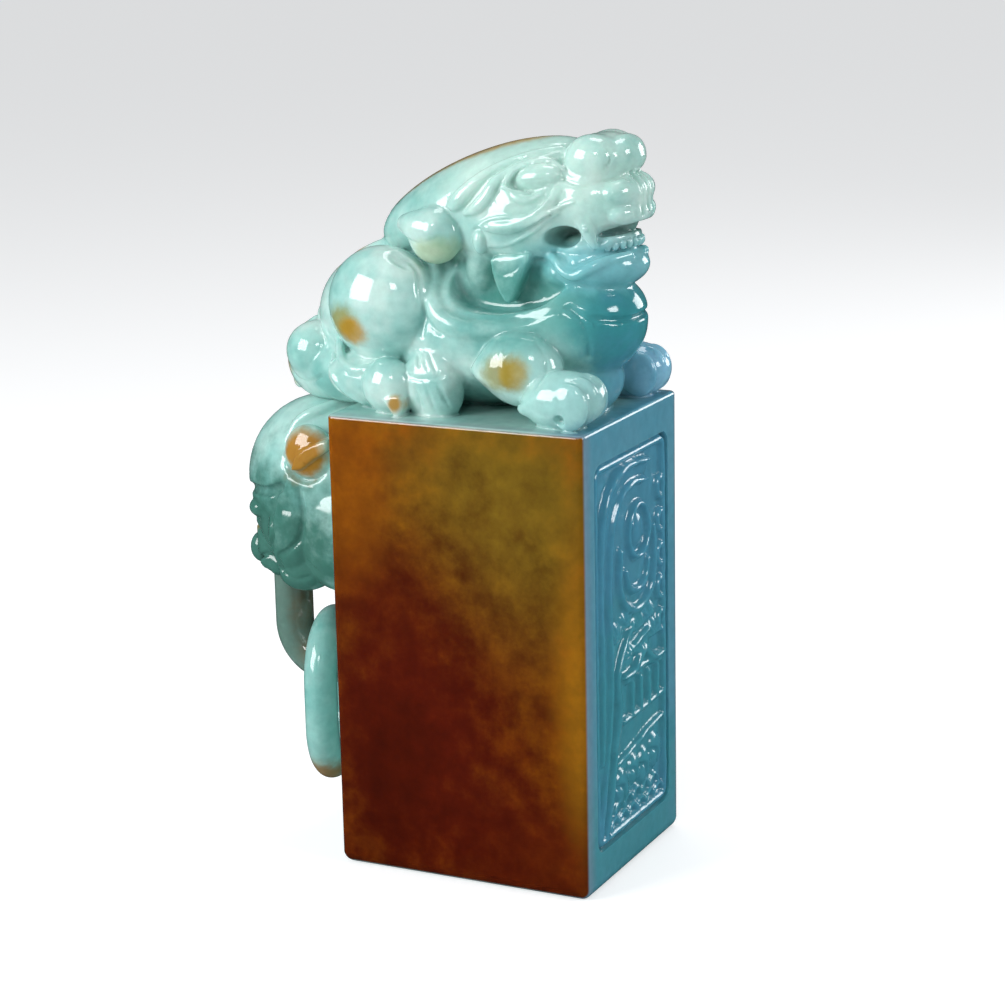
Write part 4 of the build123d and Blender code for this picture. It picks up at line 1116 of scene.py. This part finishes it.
class SEAL_OT_choose_stone(bpy.types.Operator):
    """Makes the jadeite of each part of the stamp and lays it on the block and the rings"""

    bl_idname = "seal.choose_stone"
    bl_label = "Choose Stone"

    def execute(self, context):
        amber, olive, deep = "#A87A08", "#8E8204", "#30928C"
        jadeite(
            "polished_jadeite",
            (
                (deep, (8.0, 0.0, 61.5), (12.0, 16.0, 6.2), 0.0, 0.6),
                # Painted shade: dark teal under the belly, where it meets the block's top.
                ("#3A6C64", (2.6, 0.0, 52.2), (5.4, 14.0, 3.4), 0.0, 0.6),
                ("#7FC4CC", (11.0, 0.0, 67.0), (7.0, 8.0, 3.2), 0.0, 0.75),
                # Painted shade: darker teal in the hollow under the jaw.
                ("#398274", (3.0, 0.0, block_top + 14.2), (7.0, 7.2, 3.4), 0.0, 0.6),
                # Painted shade: dark teal in the mouth's deep corner.
                ("#1E5A50", (9.5, 0.0, block_top + 19.0), (2.1, 6.0, 1.3), 0.0, 0.85),
                # Painted shade: dark teal in the slot over the tongue.
                ("#1E5A50", (15.4, 0.0, block_top + 19.8), (3.0, 5.0, 0.8), 0.0, 0.7),
                ("#CDE8DC", (5.0, 0.0, 76.0), (13.0, 10.0, 6.5), 0.0, 0.55),
                ("#A4D2CC", (11.4, -10.0, 54.4), (6.4, 5.0, 5.0), 0.0, 0.85),
                # Painted light: the far front paw, which lies in shade, is painted paler.
                ("#8CC0D8", (12.4, 10.0, 54.4), (6.4, 5.0, 5.0), 0.0, 0.9),
                (olive, (-14.1, -10.0, 60.4), (2.1, 4.0, 2.1), 0.3, 0.75),
                ("#B08408", (-13.0, -10.0, 59.5), (1.9, 4.0, 1.7), 0.1, 0.8),
                (olive, (4.5, -11.0, 56.3), (2.4, 4.0, 2.0), -0.4, 0.7),
                ("#A88A08", (6.3, -11.0, 56.4), (1.7, 4.0, 2.1), 0.0, 0.75),
                (amber, (-7.4, -10.6, 52.2), (0.9, 2.0, 0.9), 0.0, 0.9),
                ("#93A32C", (-4.0, -7.0, 67.8), (3.0, 3.0, 1.8), 0.0, 0.4),
                ("#C09A45", (-2.6, 0.0, 77.2), (13.5, 2.4, 2.0), -0.42, 0.8),
                ("#C48C2C", (-18.0, 0.0, 65.4), (8.0, 2.4, 2.2), 0.72, 0.85),
                ("#B98A38", (-26.2, -1.0, 56.2), (2.2, 4.8, 4.6), 0.0, 0.8),
            ),
        )
        jadeite(
            "shaded_jadeite",
            (
                # Painted shade: the cub's head is painted darker teal.
                ("#376C60", (-25.0, 0.0, 32.5), (16.0, 14.0, 12.0), 0.0, 0.95),
                ("#A8730A", (-20.6, -8.6, 45.2), (3.4, 2.2, 3.1), 0.0, 0.95),
                (amber, (-31.4, -2.0, 38.8), (1.3, 2.2, 0.9), 0.0, 0.6),
                (amber, (-30.8, -1.6, 34.6), (1.1, 1.8, 0.8), 0.0, 0.6),
            ),
            blue=0.0,
            cloud=0.5,
        )
        jadeite(
            "weathered_jadeite",
            ((deep, (12.0, 0.0, 6.0), (14.0, 16.0, 9.0), 0.0, 0.35),),
            blue=0.9,
            cloud=0.4,
            weathered=True,
        )
        jadeite(
            "carved_jadeite",
            ((deep, (14.0, 0.0, 18.0), (6.0, 12.0, 13.0), 0.0, 0.35),),
            cloud=0.3,
            roughness=0.14,
        )
        jadeite(
            "grey_ring_jadeite",
            (
                ("#4F665A", (-22.5, 0.0, 27.0), (14.0, 8.0, 16.0), 0.0, 0.85),
                # Amber of the ring's inner wall, darkened further with painted shade.
                ("#6E4A1C", (-22.0, 0.0, 27.0), (4.2, 8.0, 10.0), 0.0, 0.75),
            ),
            blue=0.0,
            cloud=0.3,
        )
        jadeite(
            "teal_ring_jadeite",
            (
                (deep, (-22.5, 0.0, 15.0), (8.0, 10.0, 12.0), 0.0, 0.4),
                ("#A06A1C", (-22.5, -5.0, 6.4), (4.0, 4.0, 2.6), 0.0, 0.8),
            ),
            blue=0.0,
            cloud=0.5,
        )
        finishes = {
            "seal_block": "weathered_jadeite",
            "upper_ring": "grey_ring_jadeite",
            "lower_ring": "teal_ring_jadeite",
        }
        for name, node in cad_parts.items():
            finish = finishes.get(name, "shaded_jadeite" if name.startswith("cub_") else "polished_jadeite")
            node.data.materials.clear()
            node.data.materials.append(bpy.data.materials[finish])
        return {"FINISHED"}


# Stage


def lay_floor(scene, stage):
    """A floor of matt paper, pale and even to the eye, that keeps the shadow and shows dark in the gloss."""
    floor_mesh = bpy.data.meshes.new("floor")
    reach = 12.0
    corners = [(-reach, -reach, 0), (reach, -reach, 0), (reach, reach, 0), (-reach, reach, 0)]
    floor_mesh.from_pydata(corners, [], [(0, 1, 2, 3)])
    floor = bpy.data.objects.new("floor", floor_mesh)
    scene.collection.objects.link(floor)
    paper = bpy.data.materials.new("matt_paper")
    paper.use_nodes = True
    shader = paper.node_tree.nodes["Principled BSDF"]
    matt = {"Roughness": 0.7, "Specular IOR Level": 0.0, "Emission Color": (1, 1, 1, 1)}
    for socket, value in matt.items():
        shader.inputs[socket].default_value = value
    rays = add_node(paper.node_tree, "ShaderNodeLightPath").outputs
    mirrored = (0.03, 0.03, 0.03)
    sheet = tint(paper.node_tree, stage.floor_colour, mirrored, rays["Is Glossy Ray"])
    paper.node_tree.links.new(sheet, shader.inputs["Base Color"])
    glow = reckon(paper.node_tree, "MULTIPLY", rays["Is Camera Ray"], stage.floor_glow)
    paper.node_tree.links.new(glow, shader.inputs["Emission Strength"])
    floor.data.materials.append(paper)


def aim_camera(scene, stage):
    """The camera, round and above the point that it aims at."""
    aim = Vector((-0.0004, 0, 0.039585))
    back = Vector(
        (
            math.sin(stage.azimuth) * math.cos(stage.elevation),
            -math.cos(stage.azimuth) * math.cos(stage.elevation),
            math.sin(stage.elevation),
        )
    )
    camera_data = bpy.data.cameras.new("camera")
    camera_data.lens = stage.lens
    camera_data.sensor_width = 36
    camera_data.sensor_fit = "HORIZONTAL"
    camera = bpy.data.objects.new("camera", camera_data)
    scene.collection.objects.link(camera)
    right = (-back).cross(Vector((0, 0, 1))).normalized()
    up = right.cross(-back)
    lean = stage.roll
    across = right * math.cos(lean) + up * math.sin(lean)
    upward = up * math.cos(lean) - right * math.sin(lean)
    camera.matrix_world = Matrix((
        (across.x, upward.x, back.x, aim.x + back.x * stage.distance),
        (across.y, upward.y, back.y, aim.y + back.y * stage.distance),
        (across.z, upward.z, back.z, aim.z + back.z * stage.distance),
        (0, 0, 0, 1),
    ))
    scene.camera = camera


def light_studio(scene):
    """A dim surround, pale to the camera, with one large softbox on the left and four small ones."""
    world = bpy.data.worlds.new("studio")
    world.use_nodes = True
    scene.world = world
    tree = world.node_tree
    rays = add_node(tree, "ShaderNodeLightPath").outputs
    fill, dark_studio, backdrop = (0.3, 0.31, 0.32), (0.05, 0.055, 0.06), (0.7, 0.71, 0.72)
    unseen = tint(tree, fill, dark_studio, rays["Is Glossy Ray"])
    shown = tint(tree, unseen, backdrop, rays["Is Camera Ray"])
    tree.links.new(shown, tree.nodes["Background"].inputs["Color"])
    lit_point = Vector((0, 0, 0.05))
    for name, place, size, power in (
        ("left_softbox", (-0.24, -0.3, 0.2), 0.24, 1.5),
        ("front_softbox", (0.12, -0.38, 0.3), 0.08, 0.2),
        ("right_softbox", (0.38, -0.02, 0.22), 0.14, 0.6),
        ("rear_softbox", (0.2, 0.36, 0.13), 0.16, 0.45),
        ("top_softbox", (-0.02, 0.1, 0.42), 0.16, 0.35),
    ):
        lamp = bpy.data.lights.new(name, "AREA")
        lamp.shape = "SQUARE"
        lamp.size = size
        lamp.energy = power
        holder = bpy.data.objects.new(name, lamp)
        holder.location = place
        holder.rotation_euler = (Vector(place) - lit_point).to_track_quat("Z", "Y").to_euler()
        scene.collection.objects.link(holder)


class SEAL_OT_stage(bpy.types.Operator):
    """Sets the floor, the lamps and the camera"""

    bl_idname = "seal.stage"
    bl_label = "Set Stage"

    def execute(self, context):
        scene = context.scene
        lay_floor(scene, scene.seal_stage)
        aim_camera(scene, scene.seal_stage)
        light_studio(scene)
        scene.view_settings.view_transform = "Standard"
        return {"FINISHED"}


class SEAL_PT_stamp(bpy.types.Panel):
    """The settings of the stone and the stage, and a button for each step"""

    bl_idname = "SEAL_PT_stamp"
    bl_label = "Seal Stamp"
    bl_space_type = "VIEW_3D"
    bl_region_type = "UI"
    bl_category = "Seal Stamp"

    def draw(self, context):
        for group in (context.scene.seal_stone, context.scene.seal_stage):
            for name in group.__annotations__:
                self.layout.prop(group, name)
        for step in steps:
            self.layout.operator(step.bl_idname)


steps = (
    SEAL_OT_choose_stone,
    SEAL_OT_carve_beast,
    SEAL_OT_set_teeth,
    SEAL_OT_carve_cub,
    SEAL_OT_carve_panel,
    SEAL_OT_stage,
)
classes = (SealStoneSettings, SealStageSettings, *steps, SEAL_PT_stamp)


def register():
    for one in classes:
        bpy.utils.register_class(one)
    bpy.types.Scene.seal_stone = bpy.props.PointerProperty(type=SealStoneSettings)
    bpy.types.Scene.seal_stage = bpy.props.PointerProperty(type=SealStageSettings)


def unregister():
    del bpy.types.Scene.seal_stage
    del bpy.types.Scene.seal_stone
    for one in reversed(classes):
        bpy.utils.unregister_class(one)


def main():
    register()
    bpy.ops.seal.choose_stone()
    bpy.ops.seal.carve_beast()
    bpy.ops.seal.set_teeth()
    bpy.ops.seal.carve_cub()
    bpy.ops.seal.carve_panel()
    bpy.ops.seal.stage()


if __name__ == "__main__":
    main()
